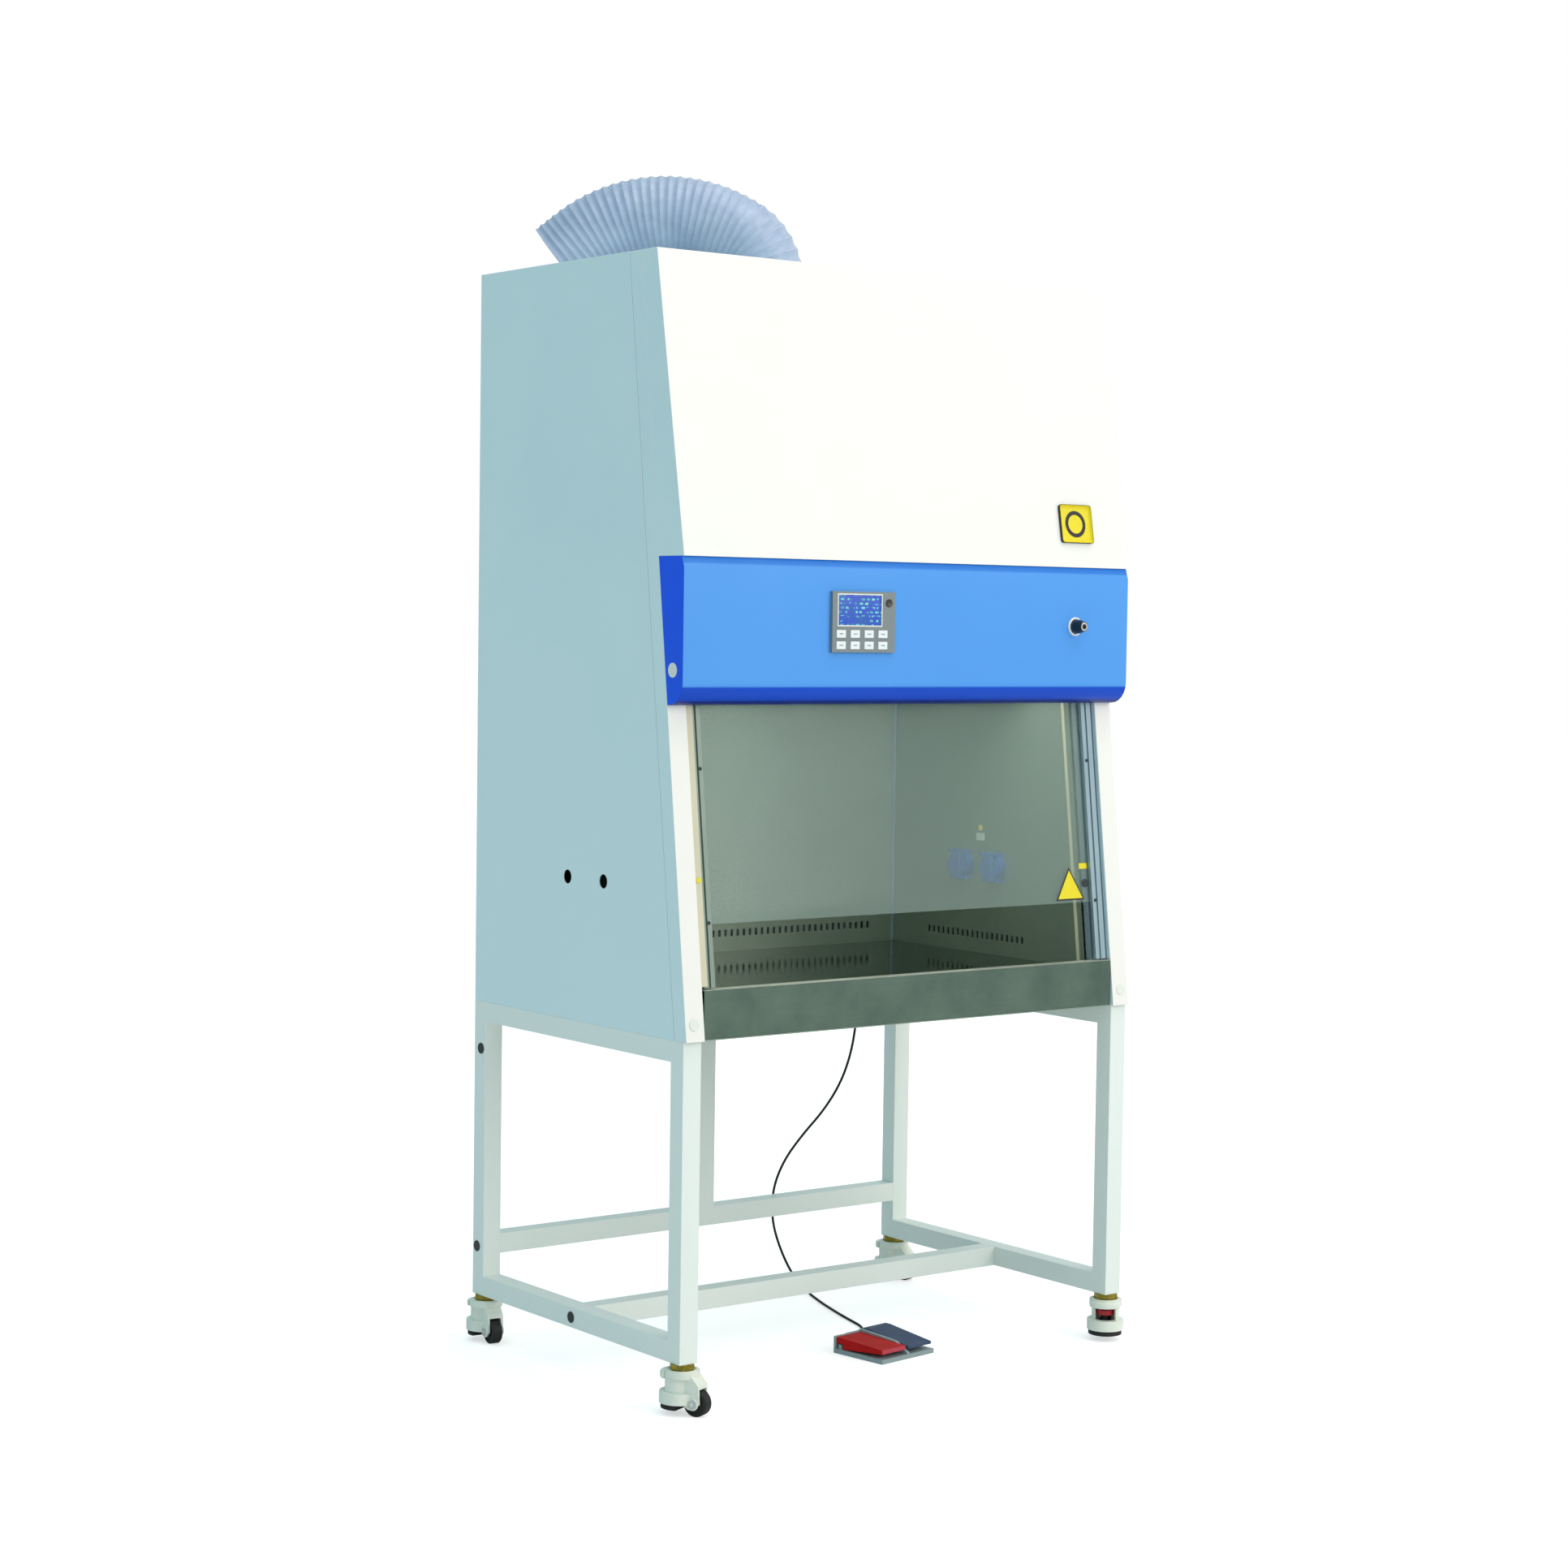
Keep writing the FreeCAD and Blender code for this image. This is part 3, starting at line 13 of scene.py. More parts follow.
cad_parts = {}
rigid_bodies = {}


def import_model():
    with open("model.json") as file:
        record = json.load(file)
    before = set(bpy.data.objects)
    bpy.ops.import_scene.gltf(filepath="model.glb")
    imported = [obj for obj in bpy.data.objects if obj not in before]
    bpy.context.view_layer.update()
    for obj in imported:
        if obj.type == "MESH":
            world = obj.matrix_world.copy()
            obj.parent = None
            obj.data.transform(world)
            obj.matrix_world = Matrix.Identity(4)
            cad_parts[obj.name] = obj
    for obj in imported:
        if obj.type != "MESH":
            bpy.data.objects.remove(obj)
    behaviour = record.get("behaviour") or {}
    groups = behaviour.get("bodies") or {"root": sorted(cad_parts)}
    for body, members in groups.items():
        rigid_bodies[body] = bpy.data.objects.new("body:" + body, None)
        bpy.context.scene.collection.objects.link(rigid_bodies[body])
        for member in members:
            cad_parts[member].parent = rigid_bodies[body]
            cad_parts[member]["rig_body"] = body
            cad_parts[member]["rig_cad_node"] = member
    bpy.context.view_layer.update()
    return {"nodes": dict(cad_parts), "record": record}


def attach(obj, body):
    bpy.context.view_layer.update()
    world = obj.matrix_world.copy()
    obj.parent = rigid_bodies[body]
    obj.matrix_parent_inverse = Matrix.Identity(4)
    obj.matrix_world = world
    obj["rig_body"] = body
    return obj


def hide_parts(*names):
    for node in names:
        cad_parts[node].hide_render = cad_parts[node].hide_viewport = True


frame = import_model()
nodes = frame["nodes"]

# %% [markdown]
# The drawing of the cabinet is in millimetres, with X from the middle, Y from the front legs
# and Z from the floor. The part's frame has its origin in the middle of the footprint. One small
# helper turns the first into the second, so that every number below can be read off the drawing.

# %% From drawing millimetres to frame metres
ORIGIN_SHIFT = (-4.3695, -416.3208)


def spot(x, y, z):
    return Vector((x + ORIGIN_SHIFT[0], y + ORIGIN_SHIFT[1], z)) / 1000


print("middle of the cabinet's front foot line:", spot(0, 0, 0))

# %% [markdown]
# The camera comes first. It stands to the left of the cabinet at chest height, far enough away
# that the upright edges stay nearly parallel, and looks very slightly down. Its lens is long.

# %% Camera
camera = bpy.data.objects.new("camera", bpy.data.cameras.new("camera"))
bpy.context.scene.collection.objects.link(camera)
yaw, pitch, roll = math.radians(37.0), math.radians(-3.03), math.radians(0.81)
ahead = Vector((math.sin(yaw) * math.cos(pitch), math.cos(yaw) * math.cos(pitch), math.sin(pitch)))
camera.location = spot(-3693.7, -4464.7, 1453.4)
camera.rotation_mode = "QUATERNION"
camera.rotation_quaternion = ahead.to_track_quat("-Z", "Y") @ Quaternion((0, 0, 1), roll)
camera.data.sensor_width = 36
camera.data.lens = 69.27
bpy.context.scene.camera = camera
print("camera at", camera.location)

# %% [markdown]
# The foot switch hangs on a thin black cord. It drops from a gland behind the tray, swings
# behind the rear bar and lies in an easy curve over the floor. A NURBS spline of order 3 runs
# smoothly near its control points, so a few well placed points are all that it needs. The
# order is set after the points are added, because set before, it would fall back to straight runs.

# %% Foot switch cord
CORD_THICK = 0.0055
cord_turn = math.radians(8)
cord_entry = spot(72.5 - math.sin(cord_turn) * 67, 175 + math.cos(cord_turn) * 67, 18)
cord_out = Vector((-math.sin(cord_turn), math.cos(cord_turn), 0))
cord_route = [spot(*point) for point in (
    (413, 700, 690), (413, 700, 640), (407, 702, 580), (398, 706, 515), (378, 715, 450), (341, 727, 390),
    (290, 739, 337), (246, 747, 283), (220, 750, 222), (218, 748, 156), (232, 736, 94), (249, 712, 38),
    (268, 678, 2.75), (249.5, 630, 2.75), (231, 580, 2.75), (214, 527, 2.75), (198, 475, 2.75),
    (183.5, 422, 2.75), (170, 370, 2.75), (150, 341, 2.75), (112, 326, 5), (75, 303, 12))]
cord_route += [cord_entry + cord_out * 0.030, cord_entry]
cord_curve = bpy.data.curves.new("foot_switch_lead", "CURVE")
cord_curve.dimensions = "3D"
cord_line = cord_curve.splines.new("NURBS")
cord_line.points.add(len(cord_route) - 1)
for point, corner in zip(cord_line.points, cord_route):
    point.co = (*corner, 1)
    point.radius = CORD_THICK / 2
cord_line.order_u = 3
cord_line.use_endpoint_u = True
cord_line.resolution_u = 12
cord_curve.bevel_depth = 1.0
cord_curve.bevel_resolution = 5
cord_curve.use_fill_caps = True
lead = bpy.data.objects.new("foot_switch_lead", cord_curve)
bpy.context.scene.collection.objects.link(lead)
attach(lead, "cabinet")
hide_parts("foot_switch_cord")
print("cord control points:", len(cord_route), "spline length:", round(cord_line.calc_length(), 4))

# %% [markdown]
# Materials are built from a few shared effects. Each effect is a node group with named sockets,
# made once and placed in every material that needs it with its own values. The helpers here add
# one node, open an empty group, place a group, start a material and turn a screen colour linear.

# %% Node helpers
def add_node(tree, kind, values=None, links=None, **settings):
    """One shader node with its settings, its plain socket values and its incoming links."""
    made = tree.nodes.new("ShaderNode" + kind)
    for name, value in settings.items():
        setattr(made, name, value)
    for socket, value in (values or {}).items():
        made.inputs[socket].default_value = value
    for socket, source in (links or {}).items():
        tree.links.new(source, made.inputs[socket])
    return made


def open_group(name, inputs, outputs):
    """An empty node group with named sockets, given with its input and output nodes."""
    tree = bpy.data.node_groups.new(name, "ShaderNodeTree")
    kinds = {"colour": "NodeSocketColor", "number": "NodeSocketFloat", "vector": "NodeSocketVector"}
    for label, kind, value in inputs:
        socket = tree.interface.new_socket(label, in_out="INPUT", socket_type=kinds[kind])
        socket.default_value = value
    for label, kind in outputs:
        tree.interface.new_socket(label, in_out="OUTPUT", socket_type=kinds[kind])
    return tree, tree.nodes.new("NodeGroupInput"), tree.nodes.new("NodeGroupOutput")


def use_group(tree, group, values=None, links=None):
    """Places a shared effect in a material."""
    return add_node(tree, "Group", values, links, node_tree=group)


def new_material(name):
    """An empty material, given with its node tree and its main shader."""
    material = bpy.data.materials.new(name)
    material.use_nodes = True
    return material, material.node_tree, material.node_tree.nodes["Principled BSDF"]


def tint(red, green, blue):
    """A colour given as it looks on a screen, 0 to 255, turned into the linear values of a shader."""
    linear = [((part / 255 + 0.055) / 1.055) ** 2.4 if part > 10 else part / 255 / 12.92
              for part in (red, green, blue)]
    return (*linear, 1)


print("screen white in linear values:", tint(255, 255, 255))

# %% [markdown]
# The room is plain: a white floor and a white wall. The light from all around is not even, though.
# It is bright and neutral in front and to the right, and dim and
# bluish on the left, so the front of the cabinet reads as white and its side as a cool blue grey.
# The world shader mixes those two by the direction of the light, and shows the camera plain white.

# %% World
FLOOR_WHITE = 0.80
FLOOR_GLOW = 0.55
world = bpy.data.worlds.new("studio_world")
world.use_nodes = True
tree = world.node_tree
around = tree.nodes["Background"]
place = add_node(tree, "TexCoord")
bright_side = Vector((0.62, -0.68, 0.39)).normalized()
aimed = add_node(tree, "VectorMath", {1: bright_side}, {0: place.outputs["Generated"]},
                 operation="DOT_PRODUCT")
share = add_node(tree, "MapRange", {"From Min": -1.0, "From Max": 1.0}, {"Value": aimed.outputs["Value"]})
sky = add_node(tree, "Mix", {6: (0.16, 0.44, 0.55, 1), 7: (0.92, 0.89, 0.85, 1)},
               {"Factor": share.outputs["Result"]}, data_type="RGBA")
tree.links.new(sky.outputs[2], around.inputs["Color"])
seen = add_node(tree, "LightPath")
white_wall = add_node(tree, "Background", {"Color": (1, 1, 1, 1)})
both = add_node(tree, "MixShader", None, {0: seen.outputs["Is Camera Ray"], 1: around.outputs[0],
                                          2: white_wall.outputs[0]})
tree.links.new(both.outputs[0], tree.nodes["World Output"].inputs["Surface"])
bpy.context.scene.world = world
bpy.context.scene.view_settings.view_transform = "Standard"
print("world nodes:", len(tree.nodes))

# %% [markdown]
# The floor is matt and almost white. Two large soft panels stand over it, one in front and one
# above, and a slim one inside the chamber does the work of the cabinet's own lamps.

# %% Floor and lights
bpy.ops.mesh.primitive_plane_add(size=60, location=(0, 0, 0))
floor = bpy.context.object
floor.name = "studio_floor"
floor_paint, tree, shader = new_material("studio_floor_paint")
shader.inputs["Base Color"].default_value = (FLOOR_WHITE, FLOOR_WHITE, FLOOR_WHITE, 1)
shader.inputs["Roughness"].default_value = 0.75
shader.inputs["Emission Color"].default_value = (1, 1, 1, 1)
seen = add_node(tree, "LightPath")
lift = add_node(tree, "Math", {1: FLOOR_GLOW}, {0: seen.outputs["Is Camera Ray"]}, operation="MULTIPLY")
tree.links.new(lift.outputs[0], shader.inputs["Emission Strength"])
floor.data.materials.append(floor_paint)


def panel_light(name, place, aim, size, power, colour):
    """A soft rectangular light, turned towards one point."""
    lamp = bpy.data.lights.new(name, "AREA")
    lamp.shape = "RECTANGLE"
    lamp.size, lamp.size_y = size
    lamp.energy = power
    lamp.color = colour
    holder = bpy.data.objects.new(name, lamp)
    bpy.context.scene.collection.objects.link(holder)
    holder.location = place
    holder.rotation_euler = (Vector(aim) - Vector(place)).to_track_quat("-Z", "Y").to_euler()


panel_light("front_panel", (2.2, -5.5, 3.2), (0, 0, 1.2), (3.5, 3.5), 92, (1.0, 0.98, 0.94))
panel_light("upper_panel", (0.4, -1.0, 5.2), (0, 0, 1.4), (3.0, 3.0), 48, (1.0, 1.0, 1.0))
panel_light("chamber_light", spot(0, 165, 1395), spot(0, 520, 800), (0.9, 0.06), 7.0, (0.96, 1.0, 0.9))

# %% [markdown]
# No painted or moulded surface is one flat colour. The first effect drifts between two near
# colours in soft clouds, so that broad panels look like real sheet and not like a fill.

# %% Effect: soft colour clouds
clouds, entry, leaving = open_group(
    "soft_colour_clouds",
    [("Colour", "colour", (0.8, 0.8, 0.8, 1)), ("Second Colour", "colour", (0.7, 0.7, 0.7, 1)),
     ("Scale", "number", 3.0), ("Amount", "number", 0.5)],
    [("Colour", "colour"), ("Cloud", "number")])
place = add_node(clouds, "TexCoord")
noise = add_node(clouds, "TexNoise", {"Detail": 5.0, "Roughness": 0.6},
                 {"Vector": place.outputs["Object"], "Scale": entry.outputs["Scale"]})
spread = add_node(clouds, "MapRange", {"From Min": 0.35, "From Max": 0.68}, {"Value": noise.outputs["Fac"]})
share = add_node(clouds, "Math", None, {0: spread.outputs["Result"], 1: entry.outputs["Amount"]},
                 operation="MULTIPLY")
blend = add_node(clouds, "Mix", None, {"Factor": share.outputs[0], 6: entry.outputs["Colour"],
                                       7: entry.outputs["Second Colour"]}, data_type="RGBA")
clouds.links.new(blend.outputs[2], leaving.inputs["Colour"])
clouds.links.new(spread.outputs["Result"], leaving.inputs["Cloud"])
print("effect:", clouds.name, "nodes:", len(clouds.nodes))

# %% [markdown]
# Edges rub first. The Bevel node gives the normal that a rounded edge would have, and where it
# turns away from the true normal there is an edge. Broken up with noise, that is a wear mask.

# %% Effect: edge wear
edges, entry, leaving = open_group("edge_wear", [("Width", "number", 0.002), ("Scale", "number", 60.0)],
                                   [("Mask", "number")])
rounded = add_node(edges, "Bevel", None, {"Radius": entry.outputs["Width"]}, samples=4)
truth = add_node(edges, "NewGeometry")
likeness = add_node(edges, "VectorMath", None, {0: rounded.outputs["Normal"], 1: truth.outputs["Normal"]},
                    operation="DOT_PRODUCT")
bent = add_node(edges, "MapRange", {"From Min": 0.99, "From Max": 0.80},
                {"Value": likeness.outputs["Value"]})
place = add_node(edges, "TexCoord")
noise = add_node(edges, "TexNoise", {"Detail": 4.0}, {"Vector": place.outputs["Object"],
                                                      "Scale": entry.outputs["Scale"]})
broken = add_node(edges, "MapRange", {"From Min": 0.42, "From Max": 0.62}, {"Value": noise.outputs["Fac"]})
mask = add_node(edges, "Math", None, {0: bent.outputs["Result"], 1: broken.outputs["Result"]},
                operation="MULTIPLY")
edges.links.new(mask.outputs[0], leaving.inputs["Mask"])
print("effect:", edges.name, "nodes:", len(edges.nodes))

# %% [markdown]
# Powder coat has a faint orange peel, and moulded plastic a fine spark grain. Both are a small
# noise that feeds a Bump node, with the size of the grain and its height as inputs.

# %% Effect: fine skin
skin, entry, leaving = open_group("fine_skin", [("Scale", "number", 500.0), ("Height", "number", 0.0001)],
                                  [("Normal", "vector"), ("Grain", "number")])
place = add_node(skin, "TexCoord")
noise = add_node(skin, "TexNoise", {"Detail": 2.0}, {"Vector": place.outputs["Object"],
                                                     "Scale": entry.outputs["Scale"]})
raised = add_node(skin, "Bump", {"Strength": 0.6}, {"Height": noise.outputs["Fac"],
                                                    "Distance": entry.outputs["Height"]})
skin.links.new(raised.outputs["Normal"], leaving.inputs["Normal"])
skin.links.new(noise.outputs["Fac"], leaving.inputs["Grain"])
print("effect:", skin.name, "nodes:", len(skin.nodes))

# %% [markdown]
# A surface that people touch is never equally glossy all over. Smudges turn a gentle noise into
# a roughness between two values.

# %% Effect: smudged gloss
smudge, entry, leaving = open_group("smudged_gloss", [("Low", "number", 0.3), ("High", "number", 0.5),
                                                      ("Scale", "number", 9.0)], [("Roughness", "number")])
place = add_node(smudge, "TexCoord")
noise = add_node(smudge, "TexNoise", {"Detail": 6.0, "Roughness": 0.65, "Distortion": 0.4},
                 {"Vector": place.outputs["Object"], "Scale": entry.outputs["Scale"]})
gloss = add_node(smudge, "MapRange", {"From Min": 0.35, "From Max": 0.65},
                 {"Value": noise.outputs["Fac"], "To Min": entry.outputs["Low"],
                  "To Max": entry.outputs["High"]})
smudge.links.new(gloss.outputs["Result"], leaving.inputs["Roughness"])
print("effect:", smudge.name, "nodes:", len(smudge.nodes))

# %% [markdown]
# Brushed sheet shows thousands of fine parallel scratches. A noise squeezed hard across the
# brushing direction draws them. The Stretch input says how fine the pattern is along X, Y and Z.

# %% Effect: brushed grain
brushed, entry, leaving = open_group(
    "brushed_grain", [("Stretch", "vector", (4.0, 4.0, 600.0)), ("Height", "number", 0.00003)],
    [("Grain", "number"), ("Normal", "vector")])
place = add_node(brushed, "TexCoord")
pulled = add_node(brushed, "VectorMath", None, {0: place.outputs["Object"], 1: entry.outputs["Stretch"]},
                  operation="MULTIPLY")
noise = add_node(brushed, "TexNoise", {"Scale": 1.0, "Detail": 4.0, "Roughness": 0.7},
                 {"Vector": pulled.outputs["Vector"]})
raised = add_node(brushed, "Bump", {"Strength": 0.5}, {"Height": noise.outputs["Fac"],
                                                       "Distance": entry.outputs["Height"]})
brushed.links.new(noise.outputs["Fac"], leaving.inputs["Grain"])
brushed.links.new(raised.outputs["Normal"], leaving.inputs["Normal"])
print("effect:", brushed.name, "nodes:", len(brushed.nodes))

# %% [markdown]
# Paint and plastic share one recipe: cloudy colour, a little wear on the edges, smudged gloss and
# a fine skin. Only the values differ, so one function writes them all.

# %% Painted and moulded finishes
finishes = {}


def coated(name, colour, second, worn, gloss=(0.32, 0.48), peel=(450, 0.00012), cloud=(2.5, 0.6),
           edge=0.0007, coat=0.0, shine=0.5):
    """A painted or moulded finish in screen colours; worn shows at rubbed edges."""
    material, tree, shader = new_material(name)
    cloudy = use_group(tree, clouds, {"Colour": tint(*colour), "Second Colour": tint(*second),
                                      "Scale": cloud[0], "Amount": cloud[1]})
    rubbed = use_group(tree, edges, {"Width": edge})
    mixed = add_node(tree, "Mix", {7: tint(*worn)},
                     {"Factor": rubbed.outputs["Mask"], 6: cloudy.outputs["Colour"]}, data_type="RGBA")
    rough = use_group(tree, smudge, {"Low": gloss[0], "High": gloss[1]})
    fine = use_group(tree, skin, {"Scale": peel[0], "Height": peel[1]})
    tree.links.new(mixed.outputs[2], shader.inputs["Base Color"])
    tree.links.new(rough.outputs["Roughness"], shader.inputs["Roughness"])
    tree.links.new(fine.outputs["Normal"], shader.inputs["Normal"])
    shader.inputs["Coat Weight"].default_value = coat
    shader.inputs["Specular IOR Level"].default_value = shine
    finishes[name] = material
    return material


# The side walls' pale blue grey is partly their own paint and partly painted shade of the dim left side.
coated("side_paint", (221, 242, 244), (215, 238, 241), (198, 222, 226))
coated("white_paint", (250, 250, 247), (247, 247, 243), (230, 232, 230))
coated("stand_paint", (236, 244, 238), (231, 240, 235), (212, 220, 216), gloss=(0.28, 0.42))
coated("bezel_plastic", (128, 138, 140), (120, 130, 133), (150, 158, 160), gloss=(0.35, 0.5))
coated("key_plastic", (238, 243, 243), (230, 237, 238), (214, 222, 224), gloss=(0.3, 0.42))
coated("lamp_white", (240, 242, 242), (233, 236, 238), (224, 228, 230), gloss=(0.15, 0.25))
coated("filter_medium", (236, 236, 228), (226, 225, 214), (216, 214, 204), gloss=(0.8, 0.95))
coated("plug_plastic", (24, 24, 26), (34, 34, 36), (62, 62, 64), gloss=(0.35, 0.5))
coated("cap_plastic", (234, 238, 228), (226, 231, 222), (206, 212, 206), gloss=(0.3, 0.42))
coated("socket_plastic", (58, 108, 186), (48, 98, 176), (104, 142, 200), gloss=(0.3, 0.45))
coated("switch_grey", (150, 168, 170), (140, 158, 162), (178, 192, 194), gloss=(0.35, 0.5))
coated("pedal_red", (200, 4, 2), (176, 3, 2), (196, 50, 56), gloss=(0.5, 0.65), cloud=(12, 0.7),
       shine=0.2)
coated("pedal_blue", (62, 80, 112), (52, 68, 100), (84, 102, 134), gloss=(0.45, 0.6),
       cloud=(12, 0.7), shine=0.3)
coated("caster_ivory", (236, 242, 230), (224, 231, 216), (176, 184, 168), gloss=(0.22, 0.38),
       cloud=(18, 0.7), edge=0.001)
coated("dial_red", (190, 24, 34), (160, 14, 24), (214, 84, 84), gloss=(0.25, 0.35))
coated("knob_black", (10, 10, 14), (18, 18, 22), (50, 50, 56), gloss=(0.12, 0.22), coat=0.3)
coated("rubber", (16, 16, 17), (26, 26, 27), (52, 52, 52), gloss=(0.55, 0.75), peel=(900, 0.0002))
coated("sticker_yellow", (240, 222, 12), (232, 212, 8), (218, 198, 20), gloss=(0.25, 0.35))
coated("sticker_black", (20, 20, 22), (28, 28, 30), (40, 40, 42), gloss=(0.25, 0.35))
coated("sticker_white", (222, 228, 224), (214, 220, 216), (204, 210, 208), gloss=(0.3, 0.4))
coated("gasket_dark", (52, 60, 64), (44, 50, 54), (66, 72, 76), gloss=(0.6, 0.75))
coated("key_mark", (92, 160, 190), (80, 146, 178), (92, 160, 190), gloss=(0.3, 0.4))
coated("strip_beige", (214, 208, 180), (204, 198, 170), (190, 184, 160), gloss=(0.35, 0.5))
finishes["caster_rubber"] = finishes["cord_rubber"] = finishes["rubber"]
print("coated finishes:", len(finishes))

# %% [markdown]
# Some finishes carry painted light and shade, picked by the way a face looks. The control housing
# is one blue moulding: its front keeps the light satin blue, while a darker strip along the bevel
# at its top, deep blue ends and a near navy underside are painted shade. The side returns of the
# white front parts take the blue grey of the side walls as painted shade, and the front faces of
# the red pedal take a painted highlight. A mask from the surface's own normal picks such faces out,
# so the border falls exactly where the bend begins.

# %% Painted light and shade by the way a face looks
def paint_light_and_shade(material, axis, limits, colour, second):
    """Painted light and shade: faces whose normal, along one axis, lies past the limits, take another cloudy
    colour.
    """
    tree = material.node_tree
    shader = tree.nodes["Principled BSDF"]
    place = add_node(tree, "TexCoord")
    parts = add_node(tree, "SeparateXYZ", None, {"Vector": place.outputs["Normal"]})
    mask = add_node(tree, "MapRange", {"From Min": limits[0], "From Max": limits[1]},
                    {"Value": parts.outputs[axis]})
    cloudy = use_group(tree, clouds, {"Colour": tint(*colour), "Second Colour": tint(*second),
                                      "Scale": 3.0, "Amount": 0.6})
    before = shader.inputs["Base Color"].links[0].from_socket
    mixed = add_node(tree, "Mix", None, {"Factor": mask.outputs["Result"], 6: before,
                                         7: cloudy.outputs["Colour"]}, data_type="RGBA")
    tree.links.new(mixed.outputs[2], shader.inputs["Base Color"])


housing_blue_and_shade = coated("blue_paint", (84, 160, 240), (79, 155, 236), (112, 178, 244), gloss=(0.34, 0.46),
                      edge=0.0005, shine=0.25)
# Painted shade on the blue housing: every face but the front turns deep blue, the bevel strip at the top a
# darker blue, the underside near navy and the ends a deep bright blue.
paint_light_and_shade(housing_blue_and_shade, "Y", (-0.988, -0.972), (3, 76, 208), (3, 70, 198))
paint_light_and_shade(housing_blue_and_shade, "Z", (0.12, 0.20), (42, 130, 226), (40, 125, 222))
paint_light_and_shade(housing_blue_and_shade, "Z", (-0.78, -0.86), (6, 34, 140), (4, 28, 126))
SHADED_SIDE_FACES = ((-0.80, -0.90), (0.80, 0.90))
for axis_end in SHADED_SIDE_FACES:
    paint_light_and_shade(housing_blue_and_shade, "X", axis_end, (16, 92, 252), (14, 86, 240))
cover_paint_and_side_shade = coated("cover_paint_and_side_shade", (245, 244, 238), (242, 241, 235), (226, 227, 222))
# Painted shade: the side returns of the white cover and columns take the blue grey of the side walls.
for axis_end in SHADED_SIDE_FACES:
    paint_light_and_shade(cover_paint_and_side_shade, "X", axis_end, (221, 242, 244), (215, 238, 241))
# Painted highlight: the faces of the red pedal that look to the front turn a lighter pink.
paint_light_and_shade(finishes["pedal_red"], "Y", (-0.80, -0.90), (196, 74, 90), (186, 62, 80))
print("nodes in the housing's paint:", len(housing_blue_and_shade.node_tree.nodes))

# %% [markdown]
# Stainless sheet is a metal whose colour hardly varies, but whose grain and smudges do. The tray
# is polished almost to a mirror, the walls are satin, and the apron is duller and blotchy, with a
# painted highlight on its top.

# %% Metal finishes
def metal(name, bright, dull, stretch, gloss, height=0.00003, blotch=(6.0, 0.5), lines=0.45, metallic=1.0):
    """A brushed metal: grain and blotches move between a bright and a dull colour."""
    material, tree, shader = new_material(name)
    grain = use_group(tree, brushed, {"Stretch": stretch, "Height": height})
    cloudy = use_group(tree, clouds, {"Colour": tint(*bright), "Second Colour": tint(*dull),
                                      "Scale": blotch[0], "Amount": blotch[1]})
    scratches = add_node(tree, "MapRange", {"From Min": 0.3, "From Max": 0.7, "To Max": lines},
                         {"Value": grain.outputs["Grain"]})
    mixed = add_node(tree, "Mix", {7: tint(*dull)},
                     {"Factor": scratches.outputs["Result"], 6: cloudy.outputs["Colour"]}, data_type="RGBA")
    rough = use_group(tree, smudge, {"Low": gloss[0], "High": gloss[1], "Scale": 5.0})
    tree.links.new(mixed.outputs[2], shader.inputs["Base Color"])
    tree.links.new(rough.outputs["Roughness"], shader.inputs["Roughness"])
    tree.links.new(grain.outputs["Normal"], shader.inputs["Normal"])
    shader.inputs["Metallic"].default_value = metallic
    finishes[name] = material
    return material


metal("stainless", (146, 162, 147), (134, 150, 136), (3, 3, 700), (0.3, 0.42), height=0.000004,
      lines=0.12, metallic=0.55)
metal("tray_steel", (122, 132, 118), (100, 108, 98), (3, 700, 3), (0.06, 0.14), height=0.000003, lines=0.2)
apron_metal_and_top_sheen = metal("apron_steel", (106, 126, 113), (82, 101, 90), (3, 3, 900), (0.3, 0.46),
                    blotch=(9.0, 0.9), metallic=0.6)
# Painted highlight: the faces of the apron that look up turn a pale, almost white grey.
paint_light_and_shade(apron_metal_and_top_sheen, "Z", (0.5, 0.8), (216, 219, 206), (200, 204, 192))
metal("guide_aluminium", (160, 184, 190), (132, 154, 170), (260, 3, 3), (0.3, 0.42), metallic=0.5)
metal("guide_shaded", (138, 154, 142), (122, 138, 128), (260, 3, 3), (0.35, 0.5), metallic=0.4)
metal("nut_brass", (178, 160, 70), (118, 104, 42), (60, 60, 400), (0.25, 0.42), blotch=(60.0, 0.8))
metal("bright_steel", (214, 216, 214), (180, 184, 184), (60, 60, 500), (0.16, 0.28))
print("metal finishes:", [name for name in finishes if "steel" in name or name == "stainless"])

# %% [markdown]
# Window glass this thin is best shown as a faintly tinted, mostly see-through skin with sharp
# reflections: light then still reaches the chamber. A pale film of low, cloudy alpha makes it
# slightly milky, so the chamber behind it looks lighter.

# %% Sash glass
glass, tree, shader = new_material("sash_glass")
film = use_group(tree, clouds, {"Colour": tint(192, 216, 208), "Second Colour": tint(174, 198, 190),
                                "Scale": 2.0, "Amount": 0.8})
tree.links.new(film.outputs["Colour"], shader.inputs["Base Color"])
haze = add_node(tree, "MapRange", {"To Min": 0.13, "To Max": 0.18}, {"Value": film.outputs["Cloud"]})
tree.links.new(haze.outputs["Result"], shader.inputs["Alpha"])
rough = use_group(tree, smudge, {"Low": 0.02, "High": 0.07, "Scale": 4.0})
tree.links.new(rough.outputs["Roughness"], shader.inputs["Roughness"])
shader.inputs["IOR"].default_value = 1.5
finishes["sash_glass"] = glass
print("glass nodes:", len(tree.nodes))

# %% [markdown]
# The display is a lit blue panel with rows of small pale green bars. A brick pattern draws the
# rows, and a noise with large cells leaves some of them out. No letters are needed.

